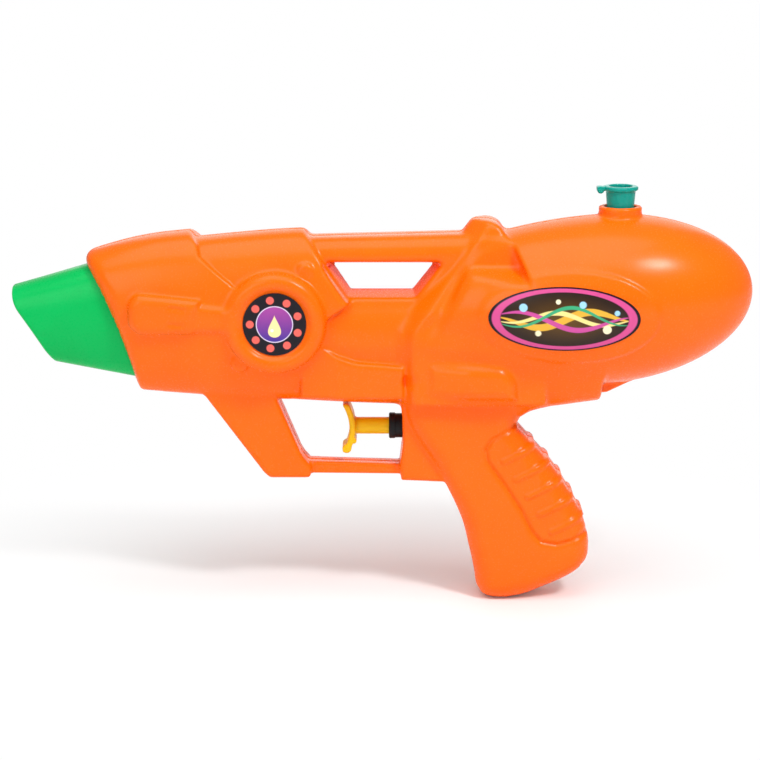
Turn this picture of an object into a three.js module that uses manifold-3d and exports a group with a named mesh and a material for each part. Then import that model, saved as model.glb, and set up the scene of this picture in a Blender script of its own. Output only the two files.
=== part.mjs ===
// Toy water squirter: two welded shell halves that hold the water, a push trigger on a plunger
// pump, a muzzle hood with a jet, a filler plug on the tank and four label badges.
// Millimetres. +Z is up, the muzzle points along -X, the seam of the halves lies in y = 0.
import * as THREE from "three";
import { mergeVertices } from "three/addons/utils/BufferGeometryUtils.js";
import Module from "manifold-3d";

const wasm = await Module();
wasm.setup();

// Shell
const wall = 1.8;
const clearance = 0.3;
const seamGap = 0.1;

// Barrel: front hood, middle section and the bridge under the handle
const barrelMiddle = 109;
const hoodHalfWidth = 19;
const middleHalfWidth = 17.4;
const bridgeHalfWidth = 14.4;
const bridgeTop = 118.2;
const mouthTopX = -110.3;
const mouthTopZ = 131;
const mouthLean = 21.5;
const mouthBow = 5;
const mouthBowWidth = 17;
const lipThickness = 2.4;
const hoodEndX = -71.5;
const hoodEndLean = 32;
const middleEndX = -30.3;
const middleEndLean = 31;

// Carry handle
const handleHalfWidth = 10.8;
const handleTop = 139.7;
const handleRise = 1.4;
const handleEdge = 3;
const handleBarDepth = 9.5;
const windowHeight = 11.7;
const windowTop = handleTop - handleBarDepth;
const windowFloor = windowTop - windowHeight;
const windowFrontX = -19.2;
const windowRearX = 21.9;

// Tower and skirt under the tank
const towerHalfWidth = 14.6;
const towerTop = 145.2;
const towerFrontX = 36.5;
const towerRearX = 45.5;
const skirtHalfWidth = 23;
const skirtFrontX = 7.2;
const skirtRearX = 83;
const skirtBottom = 75.2;

// Tank: an egg, long to the front, whose axis rises to the rear
const tankX = 83.2;
const tankZ = 115.4;
const tankRadius = 32;
const tankHalfWidth = 30;
const tankLength = 137.9;
const tankFront = 81;
const tankRear = tankLength - tankFront;
const tankTilt = 4.8;
const tankFaceX = 15.4;
const tankFaceZ = 98;
const tankFaceLean = 27.8;

// Grip
const gripHalfWidth = 13.4;
const gripRibProud = 0.8;
const gripRibWidth = 2.4;
const gripRibCount = 5;

// Guard
const strutHalfWidth = 8;
const guardHalfWidth = 6;
const guardTop = 51.9;
const guardThickness = 2.7;
const guardDrop = 0.03;
const heelHalfWidth = 9;

// Round boss and label on each side of the barrel
const bossX = -38.9;
const bossZ = 109.6;
const bossRadius = 18.4;
const bossProud = 3.6;
const badgeRadius = 11.7;
const badgeSink = 1.3;
const badgeThickness = 0.4;
const studRadius = 3.3;

// Oval label on each side of the tank
const ovalX = 68.4;
const ovalZ = 113.4;
const ovalHalfLength = 28.8;
const ovalHalfHeight = 12.3;
const padMargin = 6;
const padRise = 0.9;

// Filler neck and plug
const neckX = 89.7;
const neckRadius = 8;
const neckRise = 3;
const plugRadius = 5.6;
const plugWall = 1.3;
const plugDepth = 8;
const plugStand = 7.4;
const plugFlange = 6.5;
const plugFlangeThickness = 1.5;

// Pump
const pumpZ = 66.3;
const pumpBore = 4.4;
const pumpWall = 1.5;
const stroke = 11;
const rodRadius = 3.2;
const collarRadius = 4.95;
const collarFrontX = 3.4;
const collarLength = 7.6;
const gasketThickness = 1.2;
const pistonLength = 4;
const pistonRadius = 4;
const springWire = 0.7;
const springTurns = 6;
const springSeat = 7;
const ballRadius = 2;
const ballLift = 1.4;
const hoseRadius = 2.5;
const hoseBore = 1.7;
const barbRadius = 1.4;
const barbBore = 0.8;
const barbLength = 4.6;

// Trigger
const triggerHalfWidth = 5;
const triggerThickness = 2;
const triggerTop = 75.2;
const triggerBottom = 56.2;
const triggerHollow = 2.6;

// Muzzle hood and jet
const barrelLength = 138;
const muzzleTipX = -barrelLength;
const muzzleTipZ = 117;
const muzzleLean = 33.5;
const muzzleBow = 2.6;
const muzzleBowWidth = 11.5;
const muzzleWall = 1.7;
const muzzleHalfWidth = 13.2;
const muzzleFlange = 1.5;
const muzzleFlangeThickness = 2;
const jetZ = 106;
const jetRadius = 2.3;
const jetWebX = -112;
const jetWebThickness = 1.8;
const jetLength = 12;
const jetBore = 0.7;

const orange = new THREE.MeshStandardMaterial({ color: 0xf8741c, roughness: 0.4 });
const green = new THREE.MeshStandardMaterial({ color: 0x06b457, roughness: 0.4 });
const teal = new THREE.MeshStandardMaterial({ color: 0x12998c, roughness: 0.5 });
const yellow = new THREE.MeshStandardMaterial({ color: 0xe8b122, roughness: 0.4 });
const black = new THREE.MeshStandardMaterial({ color: 0x1d1c22, roughness: 0.5 });
const milky = new THREE.MeshStandardMaterial({ color: 0xd9dcd6, roughness: 0.5 });
const clear = new THREE.MeshStandardMaterial({ color: 0xc4cdc9, roughness: 0.4 });
const rubber = new THREE.MeshStandardMaterial({ color: 0x26262a, roughness: 0.8 });
const steel = new THREE.MeshStandardMaterial({ color: 0xb4b8bc, roughness: 0.3, metalness: 1 });
const label = new THREE.MeshStandardMaterial({ color: 0x2c2033, roughness: 0.3 });

const radians = THREE.MathUtils.degToRad;
const vector = (x, y, z) => new THREE.Vector3(x, y, z);

function solid(geometry) {
  const flat = geometry.index ? geometry.toNonIndexed() : geometry;
  const bare = new THREE.BufferGeometry().setAttribute("position", flat.getAttribute("position"));
  const merged = mergeVertices(bare, 1e-4);
  return new wasm.Manifold(
    new wasm.Mesh({
      numProp: 3,
      vertProperties: merged.attributes.position.array,
      triVerts: new Uint32Array(merged.index.array),
    }),
  );
}

function geometryOf(body) {
  const mesh = body.getMesh();
  const geometry = new THREE.BufferGeometry();
  geometry.setAttribute("position", new THREE.BufferAttribute(mesh.vertProperties, 3));
  geometry.setIndex(new THREE.BufferAttribute(mesh.triVerts, 1));
  const flat = geometry.toNonIndexed();
  flat.computeVertexNormals();
  return flat;
}

const join = (bodies) => bodies.reduce((sum, body) => sum.add(body));
const cut = (body, tools) => tools.reduce((rest, tool) => rest.subtract(tool), body);

function mirrored(geometry) {
  const flat = geometry.index ? geometry.toNonIndexed() : geometry.clone();
  const place = flat.getAttribute("position");
  for (let i = 0; i < place.count; i += 3) {
    const [a, b] = [1, 2].map((k) => vector(place.getX(i + k), place.getY(i + k), place.getZ(i + k)));
    place.setXYZ(i, place.getX(i), -place.getY(i), place.getZ(i));
    place.setXYZ(i + 1, b.x, -b.y, b.z);
    place.setXYZ(i + 2, a.x, -a.y, a.z);
  }
  return flat;
}

const bothSides = (geometry) => solid(geometry).add(solid(mirrored(geometry)));

// Side outline from corners [x, z, cutback]; a cutback rounds the corner.
function outline(corners, path = new THREE.Shape()) {
  corners.forEach(([x, z, back = 0], i) => {
    const here = new THREE.Vector2(x, z);
    const toward = (j) => {
      const [nx, nz] = corners[(j + corners.length) % corners.length];
      return new THREE.Vector2(nx - x, nz - z).setLength(back).add(here);
    };
    const [from, to] = [toward(i - 1), toward(i + 1)];
    if (i === 0) path.moveTo(from.x, from.y);
    else path.lineTo(from.x, from.y);
    if (back > 0) path.quadraticCurveTo(x, z, to.x, to.y);
  });
  path.closePath();
  return path;
}

// A side outline given depth to both sides of the seam, with rounded long edges.
function slab(shape, halfWidth, edge, inset = 0, { deep = edge, segments = 3, curve = 4 } = {}) {
  const depth = 2 * (halfWidth - inset - deep);
  const geometry = new THREE.ExtrudeGeometry(shape, {
    depth,
    curveSegments: curve,
    bevelEnabled: true,
    bevelSize: edge,
    bevelThickness: deep,
    bevelOffset: -edge - inset,
    bevelSegments: segments,
  });
  geometry.translate(0, 0, -depth / 2);
  return geometry.rotateX(Math.PI / 2);
}

// A skin over rings of equal count, closed at both ends by a fan.
function loft(rings) {
  const count = rings[0].length;
  const centre = (ring) => ring.reduce((sum, p) => sum.add(p), vector(0, 0, 0)).divideScalar(count);
  const points = [...rings.flat(), centre(rings[0]), centre(rings.at(-1))];
  const faces = [];
  for (let j = 0; j < count; j++) {
    const k = (j + 1) % count;
    const last = (rings.length - 1) * count;
    for (let i = 0; i < last; i += count) {
      faces.push(i + j, i + k, i + count + k, i + j, i + count + k, i + count + j);
    }
    faces.push(points.length - 2, k, j, points.length - 1, last + j, last + k);
  }
  const geometry = new THREE.BufferGeometry().setFromPoints(points);
  geometry.setIndex(faces);
  return geometry;
}

// Convex corners moved inward, each edge by its own amount.
function shrink(corners, amounts) {
  const lines = corners.map(([x, z], i) => {
    const [nx, nz] = corners[(i + 1) % corners.length];
    const length = Math.hypot(nx - x, nz - z);
    const normal = [-(nz - z) / length, (nx - x) / length];
    return [...normal, normal[0] * x + normal[1] * z + amounts[i]];
  });
  return lines.map(([a, b, c], i) => {
    const [d, e, f] = lines[(i + lines.length - 1) % lines.length];
    const det = a * e - b * d;
    return [(c * e - b * f) / det, (a * f - c * d) / det];
  });
}

const power = (value, n) => Math.sign(value) * Math.abs(value) ** (2 / n);

// Upright section across the barrel: a rounded box, whose lower half is drawn in.
function uprightRing({ x, top, bottom, halfWidth, middle = barrelMiddle }, inset, shape) {
  const { count = inset > 0 ? 12 : 20, upper = 2.6, lower = 3, drawIn = 0.3 } = shape;
  return Array.from({ length: count }, (_, j) => {
    const turn = (2 * Math.PI * j) / count;
    const high = Math.sin(turn) >= 0;
    const rise = power(Math.sin(turn), high ? upper : lower);
    const side = power(Math.cos(turn), high ? upper : lower) * (high ? 1 : 1 + drawIn * rise);
    const reach = high ? top - inset - middle : middle - bottom - inset;
    return vector(x, side * (halfWidth - inset), middle + rise * reach);
  });
}

const uprightLoft = (stations, inset, shape = {}) =>
  solid(loft(stations.map((station) => uprightRing(station, inset, shape))));

// Level section across the grip: a rounded box from front to back.
function levelRing({ z, front, back, halfWidth }, inset, count = inset > 0 ? 12 : 18, n = 2.7) {
  return Array.from({ length: count }, (_, j) => {
    const turn = (2 * Math.PI * j) / count;
    const reach = (back - front) / 2 - inset;
    return vector(
      (front + back) / 2 + power(Math.cos(turn), n) * reach,
      power(Math.sin(turn), n) * (halfWidth - inset),
      z,
    );
  });
}

// A turned body on an axis through place, pointing along X or Z; profile holds [along, radius].
function turned(profile, place, axis, segments = 28) {
  const geometry = new THREE.LatheGeometry(
    profile.map(([along, radius]) => new THREE.Vector2(radius, along)),
    segments,
  );
  if (axis === "x") geometry.rotateZ(-Math.PI / 2);
  if (axis === "z") geometry.rotateX(Math.PI / 2);
  return geometry.translate(place.x, place.y, place.z);
}

const rod = (from, to, radius, place, axis, segments) =>
  solid(turned([[from, 0], [from, radius], [to, radius], [to, 0]], place, axis, segments));

// A block between two distances from an upright plane that leans by an angle from the YZ plane;
// a bow moves both faces back along a parabola towards the sides.
function leaning(x, z, lean, from, to, bow = 0, bowWidth = 1) {
  const spread = bow ? [-120, -1.1, -1, -0.85, -0.7, -0.5, -0.25] : [-120];
  const across = [...spread, ...(bow ? [0] : []), ...spread.map((y) => -y).reverse()];
  const back = (y) => bow * Math.cos(radians(lean)) * Math.min(Math.abs(y), 1.1) ** 2;
  const plan = new THREE.Shape();
  const line = (offset) => across.map((y) => new THREE.Vector2(offset + back(y), Math.abs(y) > 2 ? y : y * bowWidth));
  plan.setFromPoints([...line(from).reverse(), ...line(to)]);
  const block = new THREE.ExtrudeGeometry(plan, { depth: 400, bevelEnabled: false }).translate(0, 0, -200);
  return solid(block.rotateY(-radians(lean)).translate(x, 0, z));
}

// Barrel
const mouth = (from, to) => leaning(mouthTopX, mouthTopZ, mouthLean, from, to, mouthBow, mouthBowWidth);
const hoodStations = [
  { x: -118, top: 132.4, bottom: 83.4, halfWidth: hoodHalfWidth - 2.8 },
  { x: -104, top: 136.4, bottom: 82.4, halfWidth: hoodHalfWidth - 1.2 },
  { x: -90, top: 139.3, bottom: 81, halfWidth: hoodHalfWidth - 0.4 },
  { x: -73, top: 141.6, bottom: 79.7, halfWidth: hoodHalfWidth },
  { x: -48, top: 142.4, bottom: 78, halfWidth: hoodHalfWidth },
];
const middleStations = [
  { x: -94, top: 136.4, bottom: 81.6, halfWidth: middleHalfWidth - 1 },
  { x: -68, top: 139.2, bottom: 79.4, halfWidth: middleHalfWidth },
  { x: -32, top: 142.2, bottom: 77.4, halfWidth: middleHalfWidth },
  { x: 2, top: 142.4, bottom: 76, halfWidth: middleHalfWidth },
];
const bridgeStations = [
  { x: -46, top: bridgeTop, bottom: 78.8, halfWidth: bridgeHalfWidth, middle: 101 },
  { x: -8, top: bridgeTop, bottom: 76, halfWidth: bridgeHalfWidth, middle: 100 },
  { x: 22, top: bridgeTop, bottom: skirtBottom, halfWidth: bridgeHalfWidth, middle: 100 },
];
const frontHood = (inset) =>
  cut(uprightLoft(hoodStations, inset), [
    mouth(-60, inset > 0 ? lipThickness : 0),
    leaning(hoodEndX, 140, hoodEndLean, -inset, 120),
  ]);
const middleBarrel = (inset) =>
  cut(uprightLoft(middleStations, inset), [
    mouth(-60, inset > 0 ? lipThickness : 0.5),
    leaning(middleEndX, 141, middleEndLean, -inset, 120),
  ]);
const bridge = (inset) => uprightLoft(bridgeStations, inset, { upper: 3, lower: 2.8, drawIn: 0.25 });

// Carry handle with its window; inside, only the bar is hollow
const handleCorners = [
  [-36, handleTop - 0.4],
  [36, handleTop + handleRise],
  [40, 104],
  [-30, 104],
  [-36, 122],
];
const handleBar = [
  [-32, handleTop - 0.3],
  [36, handleTop + handleRise],
  [33, windowTop],
  [-28, windowTop],
];
const windowCorners = [
  [windowFrontX, windowTop, 2],
  [windowFrontX + 7.8, windowFloor, 2.4],
  [windowRearX - 9.2, windowFloor, 2.4],
  [windowRearX, windowTop, 2],
];
function handle(inset) {
  if (inset > 0) return solid(slab(outline(handleBar), handleHalfWidth, 1, inset, { segments: 1 }));
  const shape = outline(handleCorners);
  shape.holes.push(outline(windowCorners, new THREE.Path()));
  return solid(slab(shape, handleHalfWidth, handleEdge, 0, { segments: 2, curve: 2 }));
}

// Tower at the handle's rear, and the skirt that carries the tank
const towerCorners = [
  [62, 78],
  [58, 122],
  [towerRearX + 2, towerTop - 4.6],
  [towerRearX - 1.6, towerTop],
  [towerFrontX - 1, towerTop],
  [skirtFrontX - 0.6, 107.4],
  [skirtFrontX, 78],
];
const towerChamfers = [0, 4, 4, 2.4, 6.5, 4, 0];
function tower(inset) {
  const outer = shrink(towerCorners, towerCorners.map(() => inset));
  const face = shrink(towerCorners, towerChamfers.map((chamfer) => chamfer + inset));
  const rise = towerHalfWidth - inset;
  const level = (corners, y) => corners.map(([x, z]) => vector(x, y, z));
  const block = loft([level(face, rise), level(outer, rise - 4.4), level(outer, 4.4 - rise), level(face, -rise)]);
  const opening = shrink(windowCorners, windowCorners.map(() => -inset));
  return solid(block).subtract(solid(loft([level(opening, 40), level(opening, -40)])));
}
const skirtStations = [
  { x: skirtFrontX, bottom: skirtBottom + 0.2, halfWidth: towerHalfWidth + 0.4 },
  { x: skirtFrontX + 9, bottom: skirtBottom - 0.2, halfWidth: skirtHalfWidth - 4.4 },
  { x: skirtFrontX + 26, bottom: skirtBottom - 0.4, halfWidth: skirtHalfWidth - 1.4 },
  { x: skirtRearX - 26, bottom: skirtBottom - 0.6, halfWidth: skirtHalfWidth },
  { x: skirtRearX, bottom: skirtBottom + 2.6, halfWidth: skirtHalfWidth },
].map((station) => ({ ...station, top: 113, middle: 100 }));
const skirt = (inset) =>
  uprightLoft(
    skirtStations.map((station, i) => ({
      ...station,
      x: station.x + (i === 0 ? inset : i === skirtStations.length - 1 ? -inset : 0),
    })),
    inset,
    { upper: 2.4, lower: 4, drawIn: 0.36 },
  );

// Tank
function egg(inset) {
  const profile = [];
  const steps = inset > 0 ? 4 : 7;
  for (let i = 0; i <= 2 * steps; i++) {
    const angle = Math.PI * (1 - i / (2 * steps));
    const length = (angle > Math.PI / 2 ? tankFront : tankRear) - inset;
    const end = i === 0 || i === 2 * steps;
    profile.push([length * Math.cos(angle), end ? 0 : (tankRadius - inset) * Math.sin(angle)]);
  }
  const shell = turned(profile, vector(0, 0, 0), "x", inset > 0 ? 16 : 28);
  shell.scale(1, (tankHalfWidth - inset) / (tankRadius - inset), 1);
  const whole = solid(shell.rotateY(-radians(tankTilt)).translate(tankX, 0, tankZ));
  return whole.subtract(leaning(tankFaceX, tankFaceZ, -tankFaceLean, -120, Math.max(inset, 0)));
}
const tankTopAt = (x) =>
  tankZ + (x - tankX) * Math.tan(radians(tankTilt)) +
  tankRadius * Math.sqrt(1 - ((x - tankX) / (x > tankX ? tankRear : tankFront)) ** 2);

// Upright elliptic prism on the near side, from the seam outward
function ovalPrism(grow) {
  const shape = new THREE.Shape();
  shape.absellipse(ovalX, ovalZ, ovalHalfLength + grow, ovalHalfHeight + grow, 0, Math.PI * 2);
  const prism = new THREE.ExtrudeGeometry(shape, { depth: 60, curveSegments: 16, bevelEnabled: false });
  return prism.rotateX(Math.PI / 2).translate(0, -tankHalfWidth * 0.6, 0);
}
const ovalPad = egg(-padRise).intersect(solid(ovalPrism(padMargin)));
const ovalBadge = egg(-padRise - 0.1 - badgeThickness)
  .subtract(egg(-padRise - 0.1))
  .intersect(solid(ovalPrism(0)));

// Filler neck
const neckTop = tankTopAt(neckX) + neckRise;
const neckPlace = vector(neckX, 0, 0);
const neck = rod(tankTopAt(neckX) - 6, neckTop, neckRadius, neckPlace, "z", 32);
const neckBore = rod(tankTopAt(neckX) - 12, neckTop + 5, plugRadius + clearance, neckPlace, "z", 32);

// Grip, and the heel of the guard in front of it
const gripStations = [
  { z: 0, front: 43.4, back: 48.8, halfWidth: gripHalfWidth - 6.5 },
  { z: 1, front: 40.4, back: 53.8, halfWidth: gripHalfWidth - 3 },
  { z: 3.7, front: 37.9, back: 61, halfWidth: gripHalfWidth - 0.8 },
  { z: 10.4, front: 36.2, back: 74.6, halfWidth: gripHalfWidth },
  { z: 15, front: 35.3, back: 78.8, halfWidth: gripHalfWidth },
  { z: 21, front: 33.9, back: 79.8, halfWidth: gripHalfWidth },
  { z: 30, front: 31.7, back: 78.2, halfWidth: gripHalfWidth },
  { z: 40, front: 27.5, back: 73.2, halfWidth: gripHalfWidth },
  { z: 54, front: 19.8, back: 63.8, halfWidth: gripHalfWidth },
  { z: 63, front: 13.8, back: 55.8, halfWidth: gripHalfWidth },
  { z: 68, front: 10.8, back: 51.8, halfWidth: gripHalfWidth },
  { z: 72, front: 9.4, back: 53.8, halfWidth: gripHalfWidth },
  { z: 76, front: 9, back: 62, halfWidth: gripHalfWidth },
  { z: 83, front: 9, back: 72, halfWidth: gripHalfWidth },
];
const grip = (inset) =>
  solid(
    loft(
      gripStations.map((station, i) =>
        levelRing({ ...station, z: station.z + (i < 3 ? inset * (1 - i / 3) : 0) }, inset),
      ),
    ),
  );
const ribLean = radians(26);
const ribPlaces = Array.from({ length: gripRibCount }, (_, i) => {
  const share = i / (gripRibCount - 1);
  return { x: 52.6 + 18.4 * share, z: 58.4 - 27.6 * share };
});
const ribs = ribPlaces.map(({ x, z }) => {
  const half = gripRibWidth / 2;
  const along = (s, t) => [
    x + s * Math.cos(ribLean) - t * Math.sin(ribLean),
    z + s * Math.sin(ribLean) + t * Math.cos(ribLean),
  ];
  const bar = outline([along(-6.5, -half), along(7.5, -half), along(7.5, half), along(-6.5, half)]);
  return solid(slab(bar, gripHalfWidth + gripRibProud, 0.6, 0, { segments: 1 }));
});
const gripOutside = solid(
  loft(
    gripStations
      .filter(({ z }) => z > 14 && z < 70)
      .map((station) => levelRing(station, -gripRibProud, 14)),
  ),
);
const ribWrap = join(ribs).intersect(gripOutside);
const heel = (inset) =>
  solid(
    slab(
      outline([
        [skirtFrontX - 0.2, 84],
        [skirtFrontX + 0.7, 62],
        [skirtFrontX, 52],
        [skirtFrontX + 1, 46.6],
        [24.5, 46],
        [38, 70],
        [38, 84],
      ]),
      heelHalfWidth,
      2,
      inset,
    ),
  );

// Guard in front of the trigger
const guardTopAt = (x) => guardTop - guardDrop * (x + 19);
const strutLeg = [
  [-68.2, 84],
  [-45.5, guardTop + 1],
  [-30.2, guardTop + 5.4],
  [-41.4, 84],
];
const strutFoot = [
  [-68.2, 84],
  [-43.2, guardTop - 2],
  [-40.4, guardTop - 4.4],
  [-26.6, guardTop - 4.4],
  [-25.6, guardTop - 0.6],
  [-29.6, guardTop + 4],
  [-41.4, 84],
];
const strut = (inset) =>
  solid(slab(outline(inset > 0 ? strutLeg : strutFoot), strutHalfWidth, 1.6, inset, { segments: 2 }));
const guardBar = solid(
  slab(
    outline([
      [-34, guardTopAt(-34)],
      [-34, guardTopAt(-34) - guardThickness],
      [12, guardTopAt(12) - guardThickness],
      [12, guardTopAt(12)],
    ]),
    guardHalfWidth,
    0.9,
    0,
    { segments: 2 },
  ),
);
const gusset = solid(
  slab(
    outline([
      [skirtRearX - 4, skirtBottom + 4],
      [skirtRearX + 3, skirtBottom + 4.6],
      [skirtRearX + 15, skirtBottom + 10.4],
      [skirtRearX + 8, skirtBottom + 18],
      [skirtRearX - 4, skirtBottom + 18],
    ]),
    2.6,
    0.8,
    0,
    { segments: 1 },
  ),
);

// Round boss with its label, the two studs and the raised pads, for the side at negative y
const bossFace = middleHalfWidth + bossProud;
const badgeFloor = bossFace - badgeSink;
const bossAxis = (geometry) => geometry.rotateX(Math.PI).translate(bossX, 0, bossZ);
const badgeWell = badgeRadius + clearance;
const crown = (bossRadius + badgeWell) / 2;
const bossProfile = [
  [6, 0],
  [6, bossRadius],
  [bossFace - 3, bossRadius],
  [bossFace - 0.9, bossRadius - 1.3],
  [bossFace, crown],
  [bossFace - 0.6, badgeWell],
  [badgeFloor - 0.1, badgeWell],
  [badgeFloor - 0.1, 0],
];
function turnedAside(profile, segments) {
  const points = profile.map(([along, radius]) => new THREE.Vector2(radius, along));
  return new THREE.LatheGeometry(points, segments);
}
const boss = bossAxis(turnedAside(bossProfile, 26));
const stud = (x, z) =>
  turnedAside(
    [
      [6, 0],
      [6, studRadius],
      [middleHalfWidth + 0.3, studRadius],
      [middleHalfWidth + 1.1, studRadius * 0.6],
      [middleHalfWidth + 1.2, 0],
    ],
    14,
  )
    .rotateX(Math.PI)
    .translate(x, 0, z);
const pad = (corners, face, edge = 1.2) => solid(slab(outline(corners), face, edge, 0, { segments: 2 }));
const sidePads = [
  pad([[-95, 118], [-92, 121.6], [-67.6, 119.6], [-71, 106], [-91, 105], [-95, 109]], hoodHalfWidth + 1.6),
  pad([[-74, 118.6], [-56, 117], [-56, 106.4], [-74, 106]], hoodHalfWidth + 0.2),
  pad([[15.6, 95.5], [47, 94.2], [50.6, 90.6], [51.4, 80.4], [15.6, 80.4]], skirtHalfWidth - 2.2),
];

// Muzzle hood
const muzzleStations = [
  { x: muzzleTipX - 8, top: 118.2, bottom: 96.6, halfWidth: muzzleHalfWidth - 3.4 },
  { x: muzzleTipX + 10, top: 123.4, bottom: 93.1, halfWidth: muzzleHalfWidth - 1.8 },
  { x: -112, top: 128.1, bottom: 90, halfWidth: muzzleHalfWidth - 0.6 },
  { x: -98, top: 132.2, bottom: 87.3, halfWidth: muzzleHalfWidth },
  { x: -80, top: 137, bottom: 83.8, halfWidth: muzzleHalfWidth + 0.6 },
];
const muzzleForm = (inset) =>
  uprightLoft(
    muzzleStations.map((station) => ({ ...station, middle: jetZ })),
    inset,
    { upper: 3, lower: 3.2, drawIn: 0.2, count: 20 },
  );
const muzzleStart = leaning(muzzleTipX, muzzleTipZ, muzzleLean, -60, 0, muzzleBow, muzzleBowWidth);
const flangeFrom = lipThickness + clearance;
const flangeTo = flangeFrom + muzzleFlangeThickness;
const ribFrom = flangeTo + clearance;
const ribTo = ribFrom + wall;
const muzzleEnd = flangeTo;

// Pump places along X, from the collar to the valve block
const collarEndX = collarFrontX + collarLength;
const gasketX = collarEndX + clearance;
const cylinderX = gasketX + gasketThickness + clearance;
const pistonX = cylinderX + 0.6;
const pistonEndX = pistonX + pistonLength;
const cylinderEndX = pistonEndX + stroke + springSeat;
const cylinderRadius = pumpBore + pumpWall;
const blockX = cylinderEndX + clearance;
const blockRadius = ballRadius + 3;
const valveX = blockX + blockRadius + 0.8;
const pumpAxis = vector(0, 0, pumpZ);
const valveAxis = vector(valveX, 0, 0);

// Valve block heights: inlet ball low, outlet ball high, each above its seat
const chamber = ballRadius + 0.6;
const inletSeatZ = pumpZ - 4.4;
const inletCeiling = inletSeatZ + 2 * ballRadius + ballLift + 0.4;
const outletSeatZ = inletCeiling + 1.2;
const outletCeiling = outletSeatZ + 2 * ballRadius + ballLift + 0.4;
const blockBottom = inletSeatZ - 4;
const blockTop = outletCeiling + 4;
const seatBore = ballRadius * 0.62;
const ballSit = Math.sqrt(ballRadius ** 2 - seatBore ** 2);

const seamSide = (side) => {
  const block = new THREE.BoxGeometry(500, 200, 400).translate(0, side * (100 + seamGap / 2), 100);
  return solid(block);
};

function body(inset) {
  return join([
    frontHood(inset),
    middleBarrel(inset),
    bridge(inset),
    handle(inset),
    tower(inset),
    skirt(inset),
    egg(inset),
    grip(inset),
    heel(inset),
    strut(inset),
  ]);
}

// Ribs inside each half that hold the pump, the hose and the muzzle hood
function frame(x, thickness, halfWidth, low, high) {
  return solid(
    new THREE.BoxGeometry(thickness, 2 * halfWidth, high - low).translate(x, 0, (low + high) / 2),
  );
}
const hosePoints = [
  vector(valveX, 0, blockTop + clearance),
  vector(valveX, 0, blockTop + 4),
  vector(valveX, 0, blockTop + 8),
  vector(valveX - 8, 0, blockTop + 17),
  vector(valveX - 28, 0, blockTop + 19),
  vector(-30, 0, jetZ - 6),
  vector(-70, 0, jetZ - 1),
  vector(jetWebX + jetWebThickness + 16, 0, jetZ),
  vector(jetWebX + jetWebThickness + 3.2, 0, jetZ),
];
const hosePath = new THREE.CatmullRomCurve3(hosePoints, false, "centripetal");
const suctionPath = new THREE.CatmullRomCurve3(
  [
    vector(valveX, 0, blockBottom - clearance),
    vector(valveX, 0, blockBottom - 4),
    vector(valveX, 0, blockBottom - 8),
    vector(valveX + 3, 0, blockBottom - 24),
    vector(48, 0, wall + 5),
  ],
  false,
  "centripetal",
);
function hose(path, steps) {
  const ring = new THREE.Shape();
  ring.absarc(0, 0, hoseRadius, 0, Math.PI * 2);
  const bore = new THREE.Path();
  bore.absarc(0, 0, hoseBore, 0, Math.PI * 2, true);
  ring.holes.push(bore);
  return new THREE.ExtrudeGeometry(ring, {
    steps,
    curveSegments: 4,
    extrudePath: path,
    bevelEnabled: false,
  });
}
const hoseAt = (x) => {
  const points = hosePath.getPoints(400);
  return points.reduce((best, p) => (Math.abs(p.x - x) < Math.abs(best.x - x) && p.x < 10 ? p : best));
};
const hoseClip = (x) => {
  const z = hoseAt(x).z;
  return frame(x, wall, 30, z - 5, z + 5).subtract(
    rod(x - 3, x + 3, hoseRadius + 2 * clearance, vector(0, 0, z), "x", 14),
  );
};
const innerRibs = join([
  cut(
    join([
      frame(cylinderX + 5, wall, 30, pumpZ - 12, pumpZ + 12),
      frame(cylinderEndX - 4, wall, 30, pumpZ - 12, pumpZ + 12),
    ]),
    [rod(0, 60, cylinderRadius + clearance, pumpAxis, "x", 20)],
  ),
  hoseClip(-24),
  hoseClip(-62),
]);
const muzzleRib = mouth(ribFrom, ribTo).subtract(
  rod(-110, -80, hoseRadius + 2 * clearance, vector(0, 0, jetZ), "x", 14),
);

const hollow = body(wall);
const outside = join([
  body(0),
  guardBar,
  gusset,
  ribWrap,
  bothSides(boss),
  bothSides(stud(-27.6, 128.3)),
  bothSides(stud(-52.2, 94.2)),
  ...sidePads,
  ovalPad,
  solid(mirrored(geometryOf(ovalPad))),
  neck,
]);
const plugged = join([
  cut(outside, [hollow, neckBore]),
  innerRibs.intersect(body(wall - 0.4)),
  muzzleRib.intersect(frontHood(wall - 0.4)),
]);
const shells = cut(plugged, [
  muzzleForm(-clearance).intersect(mouth(-60, lipThickness + 0.2)),
  muzzleForm(-muzzleFlange - clearance).intersect(mouth(lipThickness, ribFrom)),
  rod(-10, collarEndX + 1, collarRadius + clearance, pumpAxis, "x", 32),
]);

const parts = [];
const place = (name, material, bodyOrGeometry) => {
  const geometry = bodyOrGeometry.isBufferGeometry ? geometryOf(solid(bodyOrGeometry)) : geometryOf(bodyOrGeometry);
  const mesh = new THREE.Mesh(geometry, material);
  mesh.name = name;
  parts.push(mesh);
};

place("left_body_half", orange, shells.intersect(seamSide(-1)));
place("right_body_half", orange, shells.intersect(seamSide(1)));

// Muzzle hood: open shell with a flange behind the mouth and a web for the jet
const muzzleShell = cut(
  join([muzzleForm(0), muzzleForm(-muzzleFlange).intersect(mouth(flangeFrom, flangeTo))]),
  [
    cut(muzzleForm(muzzleWall), [
      solid(new THREE.BoxGeometry(jetWebThickness, 80, 90).translate(jetWebX + jetWebThickness / 2, 0, jetZ)),
    ]),
    muzzleStart,
    mouth(muzzleEnd, 80),
    rod(jetWebX - 5, jetWebX + 5, jetRadius + clearance, vector(0, 0, jetZ), "x", 24),
  ],
);
place("muzzle_hood", green, muzzleShell);

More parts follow.
